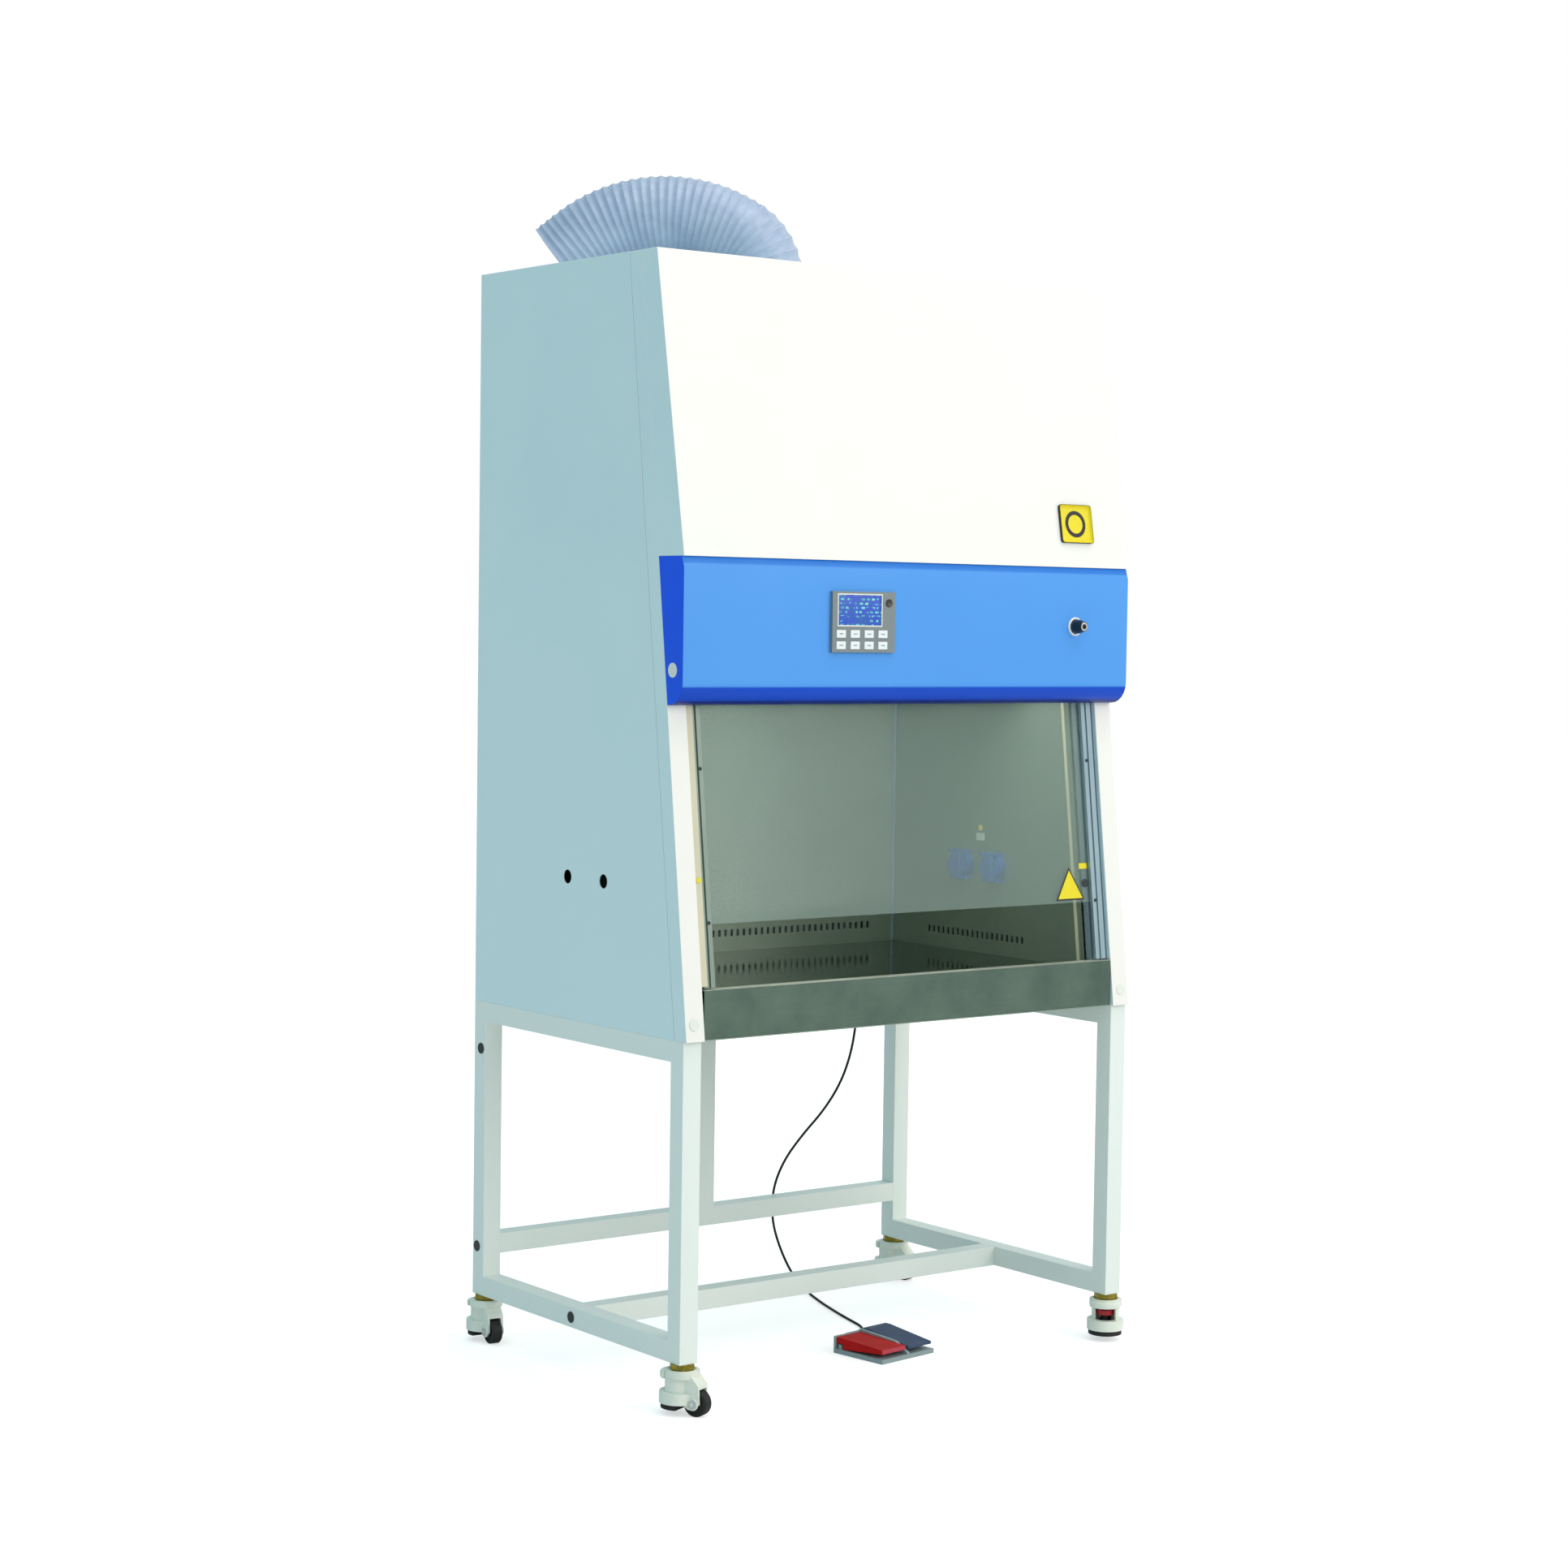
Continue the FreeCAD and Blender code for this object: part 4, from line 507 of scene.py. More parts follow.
# %% Display
display, tree, shader = new_material("screen_glass")
place = add_node(tree, "TexCoord")
flat = add_node(tree, "SeparateXYZ", None, {"Vector": place.outputs["Object"]})
sheet = add_node(tree, "CombineXYZ", None, {"X": flat.outputs["X"], "Y": flat.outputs["Z"]})
bars = add_node(tree, "TexBrick", {"Color1": (1, 1, 1, 1), "Color2": (0.2, 0.2, 0.2, 1),
                                   "Mortar": (0, 0, 0, 1),
                                   "Scale": 1.0, "Mortar Size": 0.0024, "Mortar Smooth": 0.3,
                                   "Brick Width": 0.0125, "Row Height": 0.0081},
                {"Vector": sheet.outputs["Vector"]}, offset=0.37)
patches = add_node(tree, "TexNoise", {"Scale": 85.0, "Detail": 0.0}, {"Vector": sheet.outputs["Vector"]})
kept = add_node(tree, "MapRange", {"From Min": 0.48, "From Max": 0.54}, {"Value": patches.outputs["Fac"]})
lit = add_node(tree, "Math", None, {0: bars.outputs["Color"], 1: kept.outputs["Result"]},
               operation="MULTIPLY")
hue = add_node(tree, "TexNoise", {"Scale": 60.0, "Detail": 0.0}, {"Vector": sheet.outputs["Vector"]})
ink = add_node(tree, "Mix", {6: tint(70, 190, 240), 7: tint(130, 240, 120)}, {"Factor": hue.outputs["Fac"]},
               data_type="RGBA")
back = use_group(tree, clouds, {"Colour": tint(8, 62, 184), "Second Colour": tint(8, 84, 160), "Scale": 40.0,
                                "Amount": 0.9})
shown = add_node(tree, "Mix", None, {"Factor": lit.outputs[0], 6: back.outputs["Colour"], 7: ink.outputs[2]},
                 data_type="RGBA")
tree.links.new(shown.outputs[2], shader.inputs["Base Color"])
tree.links.new(shown.outputs[2], shader.inputs["Emission Color"])
shader.inputs["Emission Strength"].default_value = 0.22
rough = use_group(tree, smudge, {"Low": 0.08, "High": 0.16, "Scale": 30.0})
tree.links.new(rough.outputs["Roughness"], shader.inputs["Roughness"])
finishes["screen_glass"] = display
print("display nodes:", len(tree.nodes))

# %% [markdown]
# The exhaust hose is a milky PVC film wound over a wire. The film lets some light through, so
# it takes a part-transparent alpha that grows denser in soft bands.

# %% Hose film
film_skin = coated("hose_plastic", (186, 204, 226), (168, 186, 216), (150, 160, 192),
                   gloss=(0.18, 0.32), peel=(120, 0.0008), cloud=(14.0, 0.9), edge=0.0006)
tree = film_skin.node_tree
shader = tree.nodes["Principled BSDF"]
dense = use_group(tree, clouds, {"Scale": 22.0, "Amount": 1.0})
alpha = add_node(tree, "MapRange", {"To Min": 0.72, "To Max": 0.92}, {"Value": dense.outputs["Cloud"]})
tree.links.new(alpha.outputs["Result"], shader.inputs["Alpha"])
coated("hose_rib", (176, 188, 212), (158, 170, 200), (190, 194, 216), gloss=(0.2, 0.35))
print("finishes so far:", len(finishes))

# %% [markdown]
# Every CAD node already has the right shape, but its edges are knife sharp, and real edges catch
# the light. The node itself is left alone: a copy is merged, its flat areas are cleaned up, a small
# bevel runs round the sharp edges, and weighted normals keep the flat faces flat. The copy then
# stands for the node and rides on the same body.

# %% Refined copies of CAD nodes
MERGE = 0.00001
body_of_node = {name: body for body, names in frame["record"]["behaviour"]["bodies"].items()
                for name in names}
slot_of_node = {part["node"]: part["material_slot"] for part in frame["record"]["subparts"]}


def only(piece):
    """Selects one object and nothing else."""
    bpy.ops.object.select_all(action="DESELECT")
    piece.select_set(True)
    bpy.context.view_layer.objects.active = piece


def apply_modifier(piece, kind, **settings):
    """Adds a modifier, sets it and applies it."""
    only(piece)
    modifier = piece.modifiers.new(kind.lower(), kind)
    for name, value in settings.items():
        setattr(modifier, name, value)
    bpy.ops.object.modifier_apply(modifier=modifier.name)


def dress(piece, body, slot, finish=None):
    """Gives a finished piece its body and its material, the finish named or else the one of its slot."""
    piece.data.materials.clear()
    piece.data.materials.append(finishes[finish or slot])
    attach(piece, body)


def soften(piece, width):
    """A small bevel, its width in millimetres, on the sharp edges, with flat faces kept flat."""
    apply_modifier(piece, "BEVEL", width=width / 1000, segments=2, limit_method="ANGLE",
                   angle_limit=math.radians(32))
    only(piece)
    bpy.ops.object.shade_smooth_by_angle(angle=math.radians(40))
    apply_modifier(piece, "WEIGHTED_NORMAL", keep_sharp=True)


def refined(name, width, finish=None):
    """A bevelled stand-in for a CAD node."""
    bpy.ops.object.select_all(action="DESELECT")
    copy = nodes[name].copy()
    copy.data = nodes[name].data.copy()
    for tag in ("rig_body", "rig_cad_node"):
        del copy[tag]
    copy.parent = None
    copy.matrix_world = Matrix.Identity(4)
    copy.name = copy.data.name = name + "_finished"
    bpy.context.scene.collection.objects.link(copy)
    only(copy)
    bpy.ops.object.mode_set(mode="EDIT")
    bpy.ops.mesh.select_all(action="SELECT")
    bpy.ops.mesh.remove_doubles(threshold=MERGE)
    bpy.ops.mesh.dissolve_limited(angle_limit=math.radians(0.5))
    bpy.ops.object.mode_set(mode="OBJECT")
    soften(copy, width)
    dress(copy, body_of_node[name], slot_of_node[name], finish)
    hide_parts(name)
    return copy


print("nodes to finish:", len(nodes))

# %% [markdown]
# First every node gets the finish of its own material slot, with a few that differ inside one
# slot, such as the polished tray and the dull apron. Those nodes that nobody sees closely stay
# as they are.

# %% Finishes on all nodes
special = {"work_tray": "tray_steel", "front_apron": "apron_steel", "front_cover": "cover_paint_and_side_shade",
           "front_columns": "cover_paint_and_side_shade"}
for name, node in nodes.items():
    node.data.materials.clear()
    node.data.materials.append(finishes[special.get(name, slot_of_node[name])])
print("nodes with a finish:", sum(bool(node.data.materials) for node in nodes.values()))

# %% [markdown]
# Then the pieces that the eye meets are refined, each with a bevel as wide as its real edge
# radius: two millimetres on folded sheet and housings, less on small moulded parts.

# %% Refined pieces
edge_widths = {
    "stand_side_frames": 1.6, "stand_crossbars": 1.6, "front_columns": 1.4, "front_cover": 1.2,
    "control_housing": 1.6, "keypad_bezel": 0.8, "front_apron": 0.9, "key_switch": 0.6, "cover_plugs": 0.6,
    "side_panel_left": 0.6, "side_panel_right": 0.6, "rear_panel": 0.6, "top_panel": 0.6, "sash_guides": 0.4,
    "sash_glass": 0.8, "socket_lid_rear": 0.9, "socket_lid_front": 0.9, "power_sockets": 0.8,
    "caster_nuts": 0.8, "cord_gland": 0.6}
for index in range(1, 9):
    edge_widths[f"key_{index}"] = 0.7
for corner in ("front_left", "front_right", "rear_left", "rear_right"):
    edge_widths[f"caster_{corner}_housing"] = 1.0
    edge_widths[f"caster_{corner}_wheel"] = 0.5
    edge_widths[f"caster_{corner}_dial"] = 0.4
    edge_widths[f"caster_{corner}_pad"] = 0.8
finished = {name: refined(name, width, special.get(name)) for name, width in edge_widths.items()}
print("refined pieces:", len(finished), "faces:",
      sum(len(piece.data.polygons) for piece in finished.values()))

# %% [markdown]
# The foot switch stays as its CAD nodes, because the free cord ends in them and can take only
# them along. Three modifiers that stay live give them soft edges: Weld joins the loose
# triangles, Decimate clears the flat faces, and Bevel rounds what is left.

# %% Foot switch edges
for name, width in (("foot_switch_base", 1.2), ("pedal_red", 1.8), ("pedal_blue", 1.8)):
    piece = nodes[name]
    piece.modifiers.new("joined", "WELD").merge_threshold = MERGE
    cleared = piece.modifiers.new("cleared", "DECIMATE")
    cleared.decimate_type = "DISSOLVE"
    cleared.angle_limit = math.radians(0.5)
    rounded = piece.modifiers.new("rounded", "BEVEL")
    rounded.width = width / 1000
    rounded.segments = 3
    rounded.angle_limit = math.radians(30)
print("live modifiers:", [modifier.type for modifier in nodes["pedal_red"].modifiers])

# %% [markdown]
# The round caps are one node in two colours: black plugs close the holes of the stand, and pale
# caps cover the screws on the columns and on the ends of the housing. Faces take the second
# material by their height.

# %% Pale caps
caps = finished["cover_plugs"]
caps.data.materials.append(finishes["cap_plastic"])
STAND_TOP = 0.690
for face in caps.data.polygons:
    face.material_index = int(face.center.z > STAND_TOP)
guides = finished["sash_guides"]
guides.data.materials.append(finishes["guide_shaded"])
for face in guides.data.polygons:
    face.material_index = int(face.center.x < 0)
print("pale cap faces:", sum(face.material_index for face in caps.data.polygons))

# %% [markdown]
# Small parts start from two kinds of blank. A block is a cube at its own size and place. A turned
# blank is a disc or a ring, extruded upwards step by step, with every new ring scaled to its
# radius, as a potter pulls a wall up. Both are shaped about the origin and then set in place.

# %% Blanks for small parts
LEAN = math.atan(0.1206)
lean_turn = Matrix.Rotation(-LEAN, 4, "X")
face_turn = Matrix.Rotation(math.radians(90), 4, "X")


def settle(piece, place):
    """Moves a piece that was drawn about the origin, and applies the move to its mesh."""
    only(piece)
    piece.matrix_world = place
    bpy.ops.object.transform_apply(location=True, rotation=True, scale=True)
    return piece


def block(name, low, high, place=Matrix.Identity(4)):
    """A rectangular blank between two corners, in millimetres."""
    bpy.ops.object.select_all(action="DESELECT")
    low, high = Vector(low) / 1000, Vector(high) / 1000
    bpy.ops.mesh.primitive_cube_add(size=1, location=(low + high) / 2)
    piece = bpy.context.object
    piece.name = piece.data.name = name
    piece.scale = high - low
    bpy.ops.object.transform_apply(location=True, rotation=True, scale=True)
    return settle(piece, place)


def turned(name, rings, place, sides=40, hollow=False):
    """A round blank about its own upright axis; rings are radius and height in millimetres."""
    bpy.ops.object.select_all(action="DESELECT")
    radius, height = rings[0]
    bpy.ops.mesh.primitive_circle_add(vertices=sides, radius=radius / 1000,
                                      fill_type="NOTHING" if hollow else "NGON")
    piece = bpy.context.object
    piece.name = piece.data.name = name
    bpy.ops.object.mode_set(mode="EDIT")
    bpy.ops.mesh.select_all(action="SELECT")
    bpy.ops.transform.translate(value=(0, 0, height / 1000))
    for wide, tall in rings[1:] + (rings[:1] if hollow else []):
        bpy.ops.mesh.extrude_region_move(TRANSFORM_OT_translate={"value": (0, 0, (tall - height) / 1000)})
        bpy.ops.transform.resize(value=(wide / radius, wide / radius, 1), center_override=(0, 0, tall / 1000))
        radius, height = wide, tall
    bpy.ops.mesh.select_all(action="SELECT")
    bpy.ops.mesh.remove_doubles(threshold=0.000005)
    bpy.ops.mesh.normals_make_consistent(inside=False)
    bpy.ops.object.mode_set(mode="OBJECT")
    return settle(piece, place)


def at(x, y, z):
    """A move to a spot of the drawing."""
    return Matrix.Translation(spot(x, y, z))


def on_front(x, y, z):
    """A place on the leaning front: y behind the front line, z up along it from the stand's top."""
    return at(0, -9, 690) @ lean_turn @ Matrix.Translation(Vector((x, y, z)) / 1000)


print("the front leans by", round(math.degrees(LEAN), 2), "degrees")

# %% [markdown]
# The key switch sits in a pale ring, and its black barrel carries a bright metal face with the
# dark keyway in its middle. The ring is pressed into the housing; the metal face turns with the key.

# %% Key switch ring and metal face
lock_place = at(407, 17, 1457) @ face_turn
ring = turned("key_switch_ring", [(14.6, 0), (18.6, 0), (18.6, 2.2), (17.6, 3.4), (15.4, 3.4), (14.6, 2.6)],
              lock_place, hollow=True)
soften(ring, 0.3)
dress(ring, "cabinet", "white_paint")
tip = turned("key_switch_face", [(5.0, 0), (8.6, 0), (8.6, 0.9), (8.0, 1.4), (5.6, 1.4), (5.0, 1.0)],
             at(407, -10, 1457) @ face_turn, hollow=True)
dress(tip, "lock", "guide_aluminium", "bright_steel")
print("key switch pieces:", ring.name, tip.name)

# %% [markdown]
# The display has a thin pale frame. It starts as a flat plane, whose face is inset and removed,
# and Solidify gives the rest its thickness. Each key has a small printed bar that goes down with it.

# %% Display frame and key marks
bpy.ops.object.select_all(action="DESELECT")
bpy.ops.mesh.primitive_plane_add(size=1)
border = bpy.context.object
border.name = border.data.name = "display_frame"
border.scale = (0.108, 0.062, 1)
bpy.ops.object.transform_apply(location=True, rotation=True, scale=True)
bpy.ops.object.mode_set(mode="EDIT")
bpy.ops.mesh.select_all(action="SELECT")
bpy.ops.mesh.inset(thickness=0.0024)
bpy.ops.mesh.delete(type="FACE")
bpy.ops.object.mode_set(mode="OBJECT")
settle(border, at(-147.5, 9.7, 1482) @ face_turn)
apply_modifier(border, "SOLIDIFY", thickness=0.0006, offset=0)
soften(border, 0.15)
dress(border, "cabinet", "bezel_plastic", "cap_plastic")
lens = turned("display_lens", [(7.6, 0), (7.6, 0.7), (6.6, 1.3), (5.2, 1.0)], at(-78, 10, 1496) @ face_turn)
soften(lens, 0.15)
dress(lens, "cabinet", "screen_glass", "knob_black")
for row, height in enumerate((1437, 1415.5)):
    for column, across in enumerate((15, 48.5, 82, 115.5)):
        number = row * 4 + column + 1
        mark = block(f"key_mark_{number}", (-4.2, -0.12, -0.9), (4.2, 0.12, 0.9),
                     at(across - 207.5, 8.4, height))
        soften(mark, 0.1)
        dress(mark, f"key{number}", "key_plastic", "key_mark")
print("key marks:", number)

# %% [markdown]
# Two warning plates of the real cabinet are kept as plain shapes without any sign: a yellow plate
# with a dark border and ring on the cover, and a yellow triangle with a dark border on the glass.
# Three sides of a turned blank make the triangle.

# %% Plain plates
cover_slope = math.atan(0.17341)
cover_place = at(415.5, 32, 1661.5) @ Matrix.Rotation(-cover_slope, 4, "X")
for name, reach, proud, finish in (("cover_plate_border", (42.2, 38.7), (0.0, -0.7), "sticker_black"),
                                   ("cover_plate", (41.4, 37.9), (-0.5, -1.1), "sticker_yellow")):
    plate = block(name, (-reach[0], proud[1], -reach[1]), (reach[0], proud[0], reach[1]), cover_place)
    only(plate)
    bpy.ops.object.mode_set(mode="EDIT")
    bpy.ops.mesh.select_all(action="SELECT")
    bpy.ops.object.mode_set(mode="OBJECT")
    for edge in plate.data.edges:
        ends = [plate.data.vertices[index].co for index in edge.vertices]
        edge.select = abs(ends[0].y - ends[1].y) > 0.0002 and abs(ends[0].x - ends[1].x) < 0.0001 \
            and abs(ends[0].z - ends[1].z) < 0.004
    bpy.ops.object.mode_set(mode="EDIT")
    bpy.ops.mesh.select_mode(type="EDGE")
    bpy.ops.mesh.bevel(offset=0.006, segments=5)
    bpy.ops.object.mode_set(mode="OBJECT")
    soften(plate, 0.15)
    dress(plate, "cabinet", "white_paint", finish)
plate_ring = turned("cover_plate_ring", [(19, 0), (27, 0), (27, 0.3), (19, 0.3)],
                    cover_place @ Matrix.Translation((0, -0.001, 0)) @ face_turn, hollow=True)
dress(plate_ring, "cabinet", "white_paint", "sticker_black")
for name, radius, proud, finish in (("sash_triangle_border", 44, 0.5, "sticker_black"),
                                    ("sash_triangle", 38, 0.8, "sticker_yellow")):
    triangle = turned(name, [(radius, 0), (radius, proud)], on_front(422, 14, 241) @ face_turn, sides=3)
    soften(triangle, 0.12)
    dress(triangle, "sash", "sash_glass", finish)
print("plates:", plate_ring.name, triangle.name)

# %% [markdown]
# Along the window run small fittings: a cream sealing strip on each side, a sticker and a round
# boss on the glass at its right edge, a yellow button and screws on the guides, and a bright
# folded seam in the far corner of the chamber.

# %% Window fittings
strip_left = block("seal_strip_left", (-507, 4.2, 100), (-492, 5.0, 1100), on_front(0, 0, 0))
strip_right = block("seal_strip_right", (468.4, 50, 80), (470, 58, 715), on_front(0, 0, 0))
for strip in (strip_left, strip_right):
    soften(strip, 0.3)
    dress(strip, "cabinet", "guide_aluminium", "strip_beige")
sticker = block("sash_sticker", (450, 13.6, 281), (472, 14, 292.5), on_front(0, 0, 0))
soften(sticker, 0.15)
dress(sticker, "sash", "sash_glass", "sticker_yellow")
boss = turned("sash_boss", [(8.2, 0), (8.2, 1.6), (7.2, 2.6), (3.2, 2.6), (2.6, 1.8)],
              on_front(464, 14, 252) @ face_turn)
soften(boss, 0.2)
dress(boss, "sash", "guide_aluminium", "gasket_dark")
button = turned("guide_button", [(5.4, 0), (5.4, 1.2), (4.6, 1.9), (1.6, 1.9), (1.2, 1.1)],
                on_front(-499.5, 4.3, 295) @ face_turn)
soften(button, 0.2)
dress(button, "cabinet", "guide_aluminium", "sticker_yellow")
screw_rings = [(3.4, 0), (3.4, 0.9), (2.6, 1.6), (1.1, 1.6), (1.0, 0.7)]
for side in (-1, 1):
    for number, height in enumerate((216, 500, 790, 1060)):
        screw = turned(f"guide_screw_{'left' if side < 0 else 'right'}_{number}", screw_rings,
                       on_front(side * 481, 5, height) @ face_turn, sides=20)
        dress(screw, "cabinet", "guide_aluminium", "gasket_dark")
for name, low, high in (("corner_seam", (461.5, 652.6, 766), (469.6, 655, 1412)),
                        ("corner_seam_left", (-469.6, 652.6, 766), (-461.5, 655, 1412))):
    seam = block(name, low, high, at(0, 0, 0))
    soften(seam, 0.8)
    dress(seam, "cabinet", "stainless", "guide_aluminium")
socket_plate = block("socket_plate", (469.2, 354, 1003), (470, 381, 1019), at(0, 0, 0))
soften(socket_plate, 0.3)
dress(socket_plate, "cabinet", "socket_plastic", "sticker_white")
socket_dot = turned("socket_dot", [(6, 0), (6, 0.5), (5.4, 0.9)], at(470, 368, 1030) @ Matrix.Rotation(
    math.radians(-90), 4, "Y"), sides=24)
dress(socket_dot, "cabinet", "socket_plastic", "sticker_yellow")
print("window fittings placed")

# %% [markdown]
# The rear sheet is held by a row of pan head screws along each edge, so that it can be taken off to
# reach the filters. One turned blank is repeated at every place.

# %% Rear sheet screws
sheet_corners = [Vector(corner_point) for corner_point in nodes["rear_panel"].bound_box]
left_edge, right_edge = (pick(point.x for point in sheet_corners) for pick in (min, max))
low_edge, high_edge = (pick(point.z for point in sheet_corners) for pick in (min, max))
rear_face = max(point.y for point in sheet_corners)
SCREW_INSET = 0.022
screw_places = [(across, low_edge + SCREW_INSET + (high_edge - low_edge - 2 * SCREW_INSET) * step / 6)
                for across in (left_edge + SCREW_INSET, right_edge - SCREW_INSET) for step in range(7)]
screw_places += [(left_edge + (right_edge - left_edge) * step / 4, height)
                 for height in (low_edge + SCREW_INSET, high_edge - SCREW_INSET) for step in (1, 2, 3)]
for number, (across, height) in enumerate(screw_places, 1):
    screw = turned(f"rear_screw_{number}", [(4.2, 0), (4.2, 0.5), (3.4, 1.3), (1.4, 1.4), (1.2, 0.6)],
                   Matrix.Translation((across, rear_face, height))
                   @ Matrix.Rotation(math.radians(-90), 4, "X"), sides=20)
    dress(screw, "cabinet", "side_paint", "bright_steel")
print("rear screws:", number)

# %% [markdown]
# Each caster has a thick hood over the window of its dial and a raised collar on its head. The
# hood starts as a turned blank, is cut by a plane so that only the window's side is left, and is
# rounded. Round bosses and bright hexagon nuts hold the axle on both sides of the fork. All of it
# is modelled for each caster and turns with its swivel.

# %% Caster hoods
FORK_HALF = 0.017
CASTERS = {"front_left": (-530, 20, 293), "front_right": (530, 20, 45),
           "rear_left": (-530, 710, 263), "rear_right": (530, 710, 285)}
for corner, (across, along, heading) in CASTERS.items():
    place = at(across, along, 0) @ Matrix.Rotation(math.radians(heading), 4, "Z")
    hood = turned(f"caster_hood_{corner}",
                  [(29, 67), (34.5, 68.5), (35.5, 70.5), (35.5, 79), (34, 80.8), (29, 80.8)],
                  Matrix.Translation((-0.006, 0, 0)), sides=48)
    only(hood)
    bpy.ops.object.mode_set(mode="EDIT")
    bpy.ops.mesh.select_all(action="SELECT")
    bpy.ops.mesh.bisect(plane_co=(-0.022, 0, 0), plane_no=(1, 0, 0), use_fill=True, clear_outer=True)
    bpy.ops.object.mode_set(mode="OBJECT")
    settle(hood, place)
    soften(hood, 1.2)
    dress(hood, f"{corner}_swivel", "caster_ivory")
    collar = turned(f"caster_collar_{corner}",
                    [(25.6, 82.3), (30, 82.3), (30, 83.2), (29, 84.2), (26.4, 84.2), (25.6, 83.4)],
                    place, hollow=True)
    dress(collar, f"{corner}_swivel", "caster_ivory")
    ends = [Vector(corner_point) for corner_point in nodes[f"caster_{corner}_wheel"].bound_box]
    hub = sum(ends, Vector()) / len(ends)
    for side in (-1, 1):
        axle = Matrix.Translation(hub) @ Matrix.Rotation(math.radians(heading), 4, "Z") @ Matrix.Rotation(
            math.radians(-90 * side), 4, "X") @ Matrix.Translation((0, 0, FORK_HALF))
        boss = turned(f"caster_boss_{corner}_{'right' if side < 0 else 'left'}",
                      [(11.5, -0.4), (11.5, 0.9), (10.4, 1.9), (7.0, 1.9), (6.8, 1.4)], axle, sides=32)
        dress(boss, f"{corner}_swivel", "caster_ivory")
        nut = turned(f"caster_axle_{corner}_{'right' if side < 0 else 'left'}",
                     [(8.6, 1.2), (8.6, 3.5), (7.6, 4.1), (3.0, 4.1), (2.8, 3.7)], axle, sides=6)
        dress(nut, f"{corner}_swivel", "nut_brass", "bright_steel")
print("caster hoods:", len(CASTERS))

# %% [markdown]
# The exhaust hose is a thin film wound over a spring wire. One pitch of the film is drawn as a
# short line that sags between two wires, and the Screw modifier sweeps it round and along, so that
# each turn starts where the last one ended. The wire is a small circle, swept the same way.

# %% Hose film and wire, straight
HOSE_TURNS = 33
HOSE_LONG = 0.5155
STEPS_PER_TURN = 48
FILM_RADIUS, FILM_SAG = 0.0826, 0.0026
WIRE_RADIUS, WIRE_REACH = 0.0013, 0.0828
hose_pitch = HOSE_LONG / HOSE_TURNS


def wound(name, steps):
    """Sweeps the active profile round the X axis, one pitch further for every turn."""
    piece = bpy.context.object
    piece.name = piece.data.name = name
    apply_modifier(piece, "SCREW", axis="X", screw_offset=hose_pitch, iterations=HOSE_TURNS + 2, steps=steps,
                   render_steps=steps, use_merge_vertices=True, merge_threshold=MERGE)
    only(piece)
    bpy.ops.object.mode_set(mode="EDIT")
    bpy.ops.mesh.select_all(action="SELECT")
    capped = name == "hose_wire"
    bpy.ops.mesh.bisect(plane_co=(hose_pitch, 0, 0), plane_no=(1, 0, 0), use_fill=capped, clear_inner=True)
    bpy.ops.mesh.select_all(action="SELECT")
    bpy.ops.mesh.bisect(plane_co=(hose_pitch + HOSE_LONG, 0, 0), plane_no=(1, 0, 0), use_fill=capped,
                        clear_outer=True)
    bpy.ops.mesh.select_all(action="SELECT")
    bpy.ops.mesh.remove_doubles(threshold=MERGE)
    bpy.ops.mesh.normals_make_consistent(inside=False)
    bpy.ops.object.mode_set(mode="OBJECT")
    settle(piece, Matrix.Translation((-hose_pitch, 0, 0)))
    return piece


def start_profile(divisions):
    """A straight line along X, one pitch long: one edge of a flat grid."""
    bpy.ops.object.select_all(action="DESELECT")
    bpy.ops.mesh.primitive_grid_add(x_subdivisions=divisions, y_subdivisions=1, size=1)
    piece = bpy.context.object
    piece.scale = (hose_pitch, hose_pitch, 1)
    bpy.ops.object.transform_apply(location=True, rotation=True, scale=True)
    bpy.ops.object.mode_set(mode="EDIT")
    bpy.ops.mesh.select_mode(type="VERT")
    bpy.ops.mesh.select_all(action="DESELECT")
    bpy.ops.object.mode_set(mode="OBJECT")
    for vertex in piece.data.vertices:
        vertex.select = vertex.co.y > 0
    bpy.ops.object.mode_set(mode="EDIT")
    bpy.ops.mesh.delete(type="VERT")
    bpy.ops.object.mode_set(mode="OBJECT")
    return piece


profile = start_profile(6)
for vertex in profile.data.vertices:
    share = vertex.co.x / hose_pitch + 0.5
    sag = FILM_SAG * max(0.0, math.sin(math.pi * share)) ** 1.4
    vertex.co = (vertex.co.x + hose_pitch / 2, 0, FILM_RADIUS - sag)
hose_film = wound("hose_film", STEPS_PER_TURN)
apply_modifier(hose_film, "SOLIDIFY", thickness=0.0009, offset=-1)
bpy.ops.object.select_all(action="DESELECT")
bpy.ops.mesh.primitive_circle_add(vertices=6, radius=WIRE_RADIUS, fill_type="NOTHING",
                                  location=(0, 0, WIRE_REACH),
                                  rotation=(math.radians(90), 0, 0))
bpy.ops.object.transform_apply(location=True, rotation=True, scale=True)
hose_wire = wound("hose_wire", STEPS_PER_TURN)
print("film faces:", len(hose_film.data.polygons), "wire faces:", len(hose_wire.data.polygons))

# %% [markdown]
# The hose then follows one bent line: it rises from the collar, bends sharply to the left, and
# comes down in a wide arc behind the cabinet. A Bezier curve draws each arc with one segment, and
# the Curve modifier bends film and wire along it.

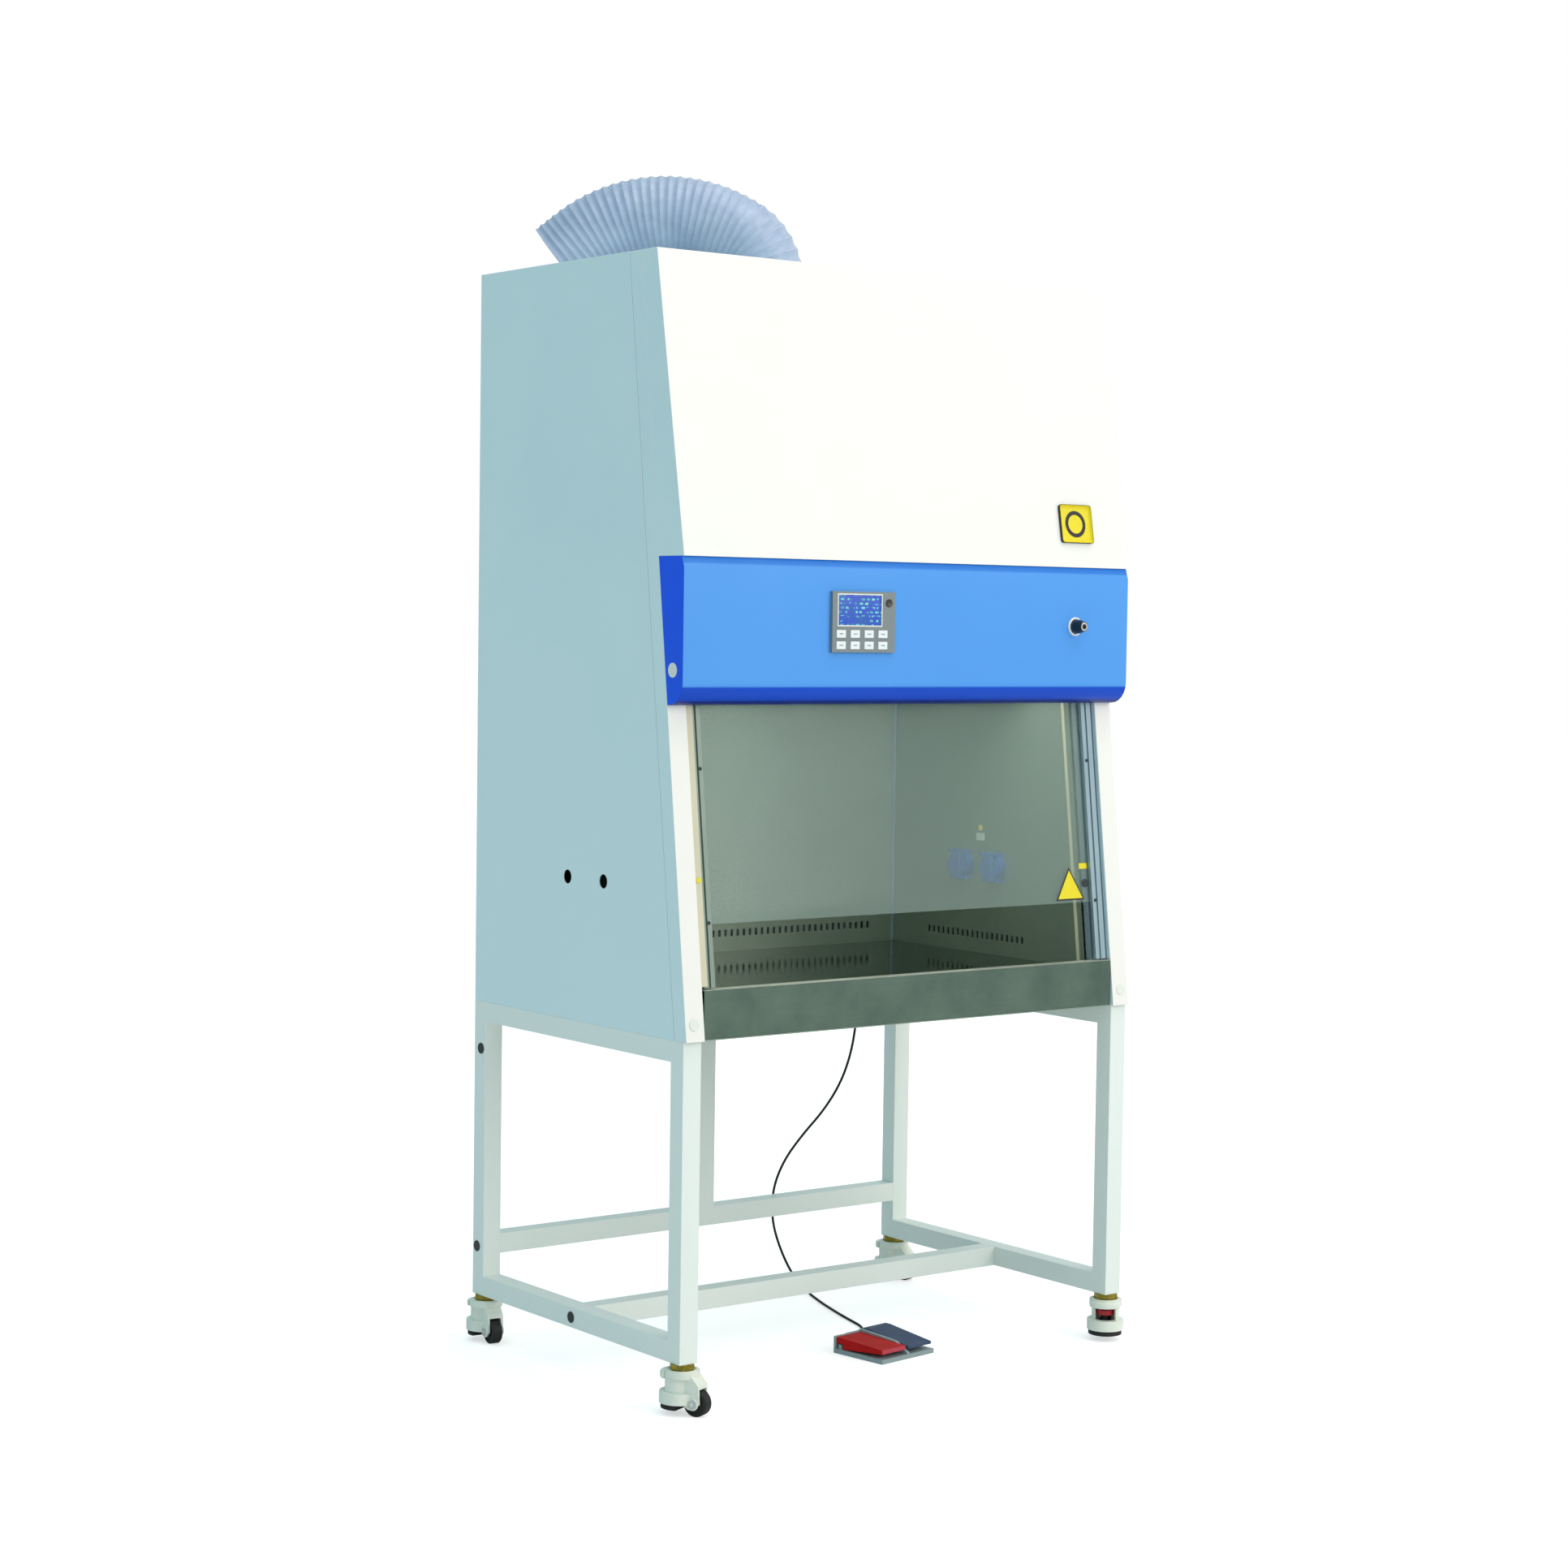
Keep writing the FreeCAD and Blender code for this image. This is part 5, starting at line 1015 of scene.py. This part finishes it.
# %% Hose bent along its line
hose_head = math.radians(140)
hose_ahead = Vector((math.cos(hose_head), math.sin(hose_head), 0))
HOSE_RUNS = ((0.010, 0, 0), (0, 0.104, 58), (0, 0.285, 70), (0.052, 0, 0))
tilt = 0.0
point = spot(0, 533, 2140)
knots = [(point.copy(), tilt, 0.0)]
for straight, radius, bend in HOSE_RUNS:
    swing = math.radians(bend)
    side = hose_ahead * math.cos(tilt) - Vector((0, 0, math.sin(tilt)))
    forward = hose_ahead * math.sin(tilt) + Vector((0, 0, math.cos(tilt)))
    point = point + side * radius * (1 - math.cos(swing)) + forward * (radius * math.sin(swing) + straight)
    tilt += swing
    knots.append((point.copy(), tilt, straight / 3 + radius * 4 / 3 * math.tan(swing / 4)))
line = bpy.data.curves.new("hose_line", "CURVE")
line.dimensions = "3D"
line.resolution_u = 24
line.twist_mode = "MINIMUM"
run = line.splines.new("BEZIER")
run.bezier_points.add(len(knots) - 1)
for index, (knot, (place, tilt, before)) in enumerate(zip(run.bezier_points, knots)):
    after = knots[index + 1][2] if index + 1 < len(knots) else 0.01
    heading = hose_ahead * math.sin(tilt) + Vector((0, 0, math.cos(tilt)))
    knot.handle_left_type = knot.handle_right_type = "FREE"
    knot.co = place
    knot.handle_left = place - heading * (before or 0.01)
    knot.handle_right = place + heading * after
hose_path = bpy.data.objects.new("hose_line", line)
bpy.context.scene.collection.objects.link(hose_path)
for piece, finish in ((hose_film, "hose_plastic"), (hose_wire, "hose_rib")):
    apply_modifier(piece, "CURVE", object=hose_path, deform_axis="POS_X")
    only(piece)
    bpy.ops.object.shade_smooth_by_angle(angle=math.radians(60))
    dress(piece, "cabinet", "hose_plastic", finish)
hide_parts("exhaust_duct")
print("hose line length:", round(run.calc_length(), 4))
bpy.data.objects.remove(hose_path)

# %% [markdown]
# The lead takes its rubber finish last. A tapered boot with soft ridges
# holds it where it enters the switch.

# %% Cord boot and finish
boot_rings = [(6.4, 0), (6.4, 3)]
for step in range(5):
    wide = 5.6 - step * 0.42
    boot_rings += [(wide, 3.6 + step * 4.4), (wide, 5.8 + step * 4.4), (wide - 0.8, 6.2 + step * 4.4),
                   (wide - 0.8, 7.6 + step * 4.4)]
boot_rings += [(3.1, 26)]
boot = turned("cord_boot", boot_rings, Matrix.Translation(cord_entry - cord_out * 0.001)
              @ cord_out.to_track_quat("Z", "Y").to_matrix().to_4x4(), sides=24)
only(boot)
bpy.ops.object.shade_smooth_by_angle(angle=math.radians(50))
dress(boot, "cabinet", "cord_rubber")
lead.data.materials.append(finishes["rubber"])
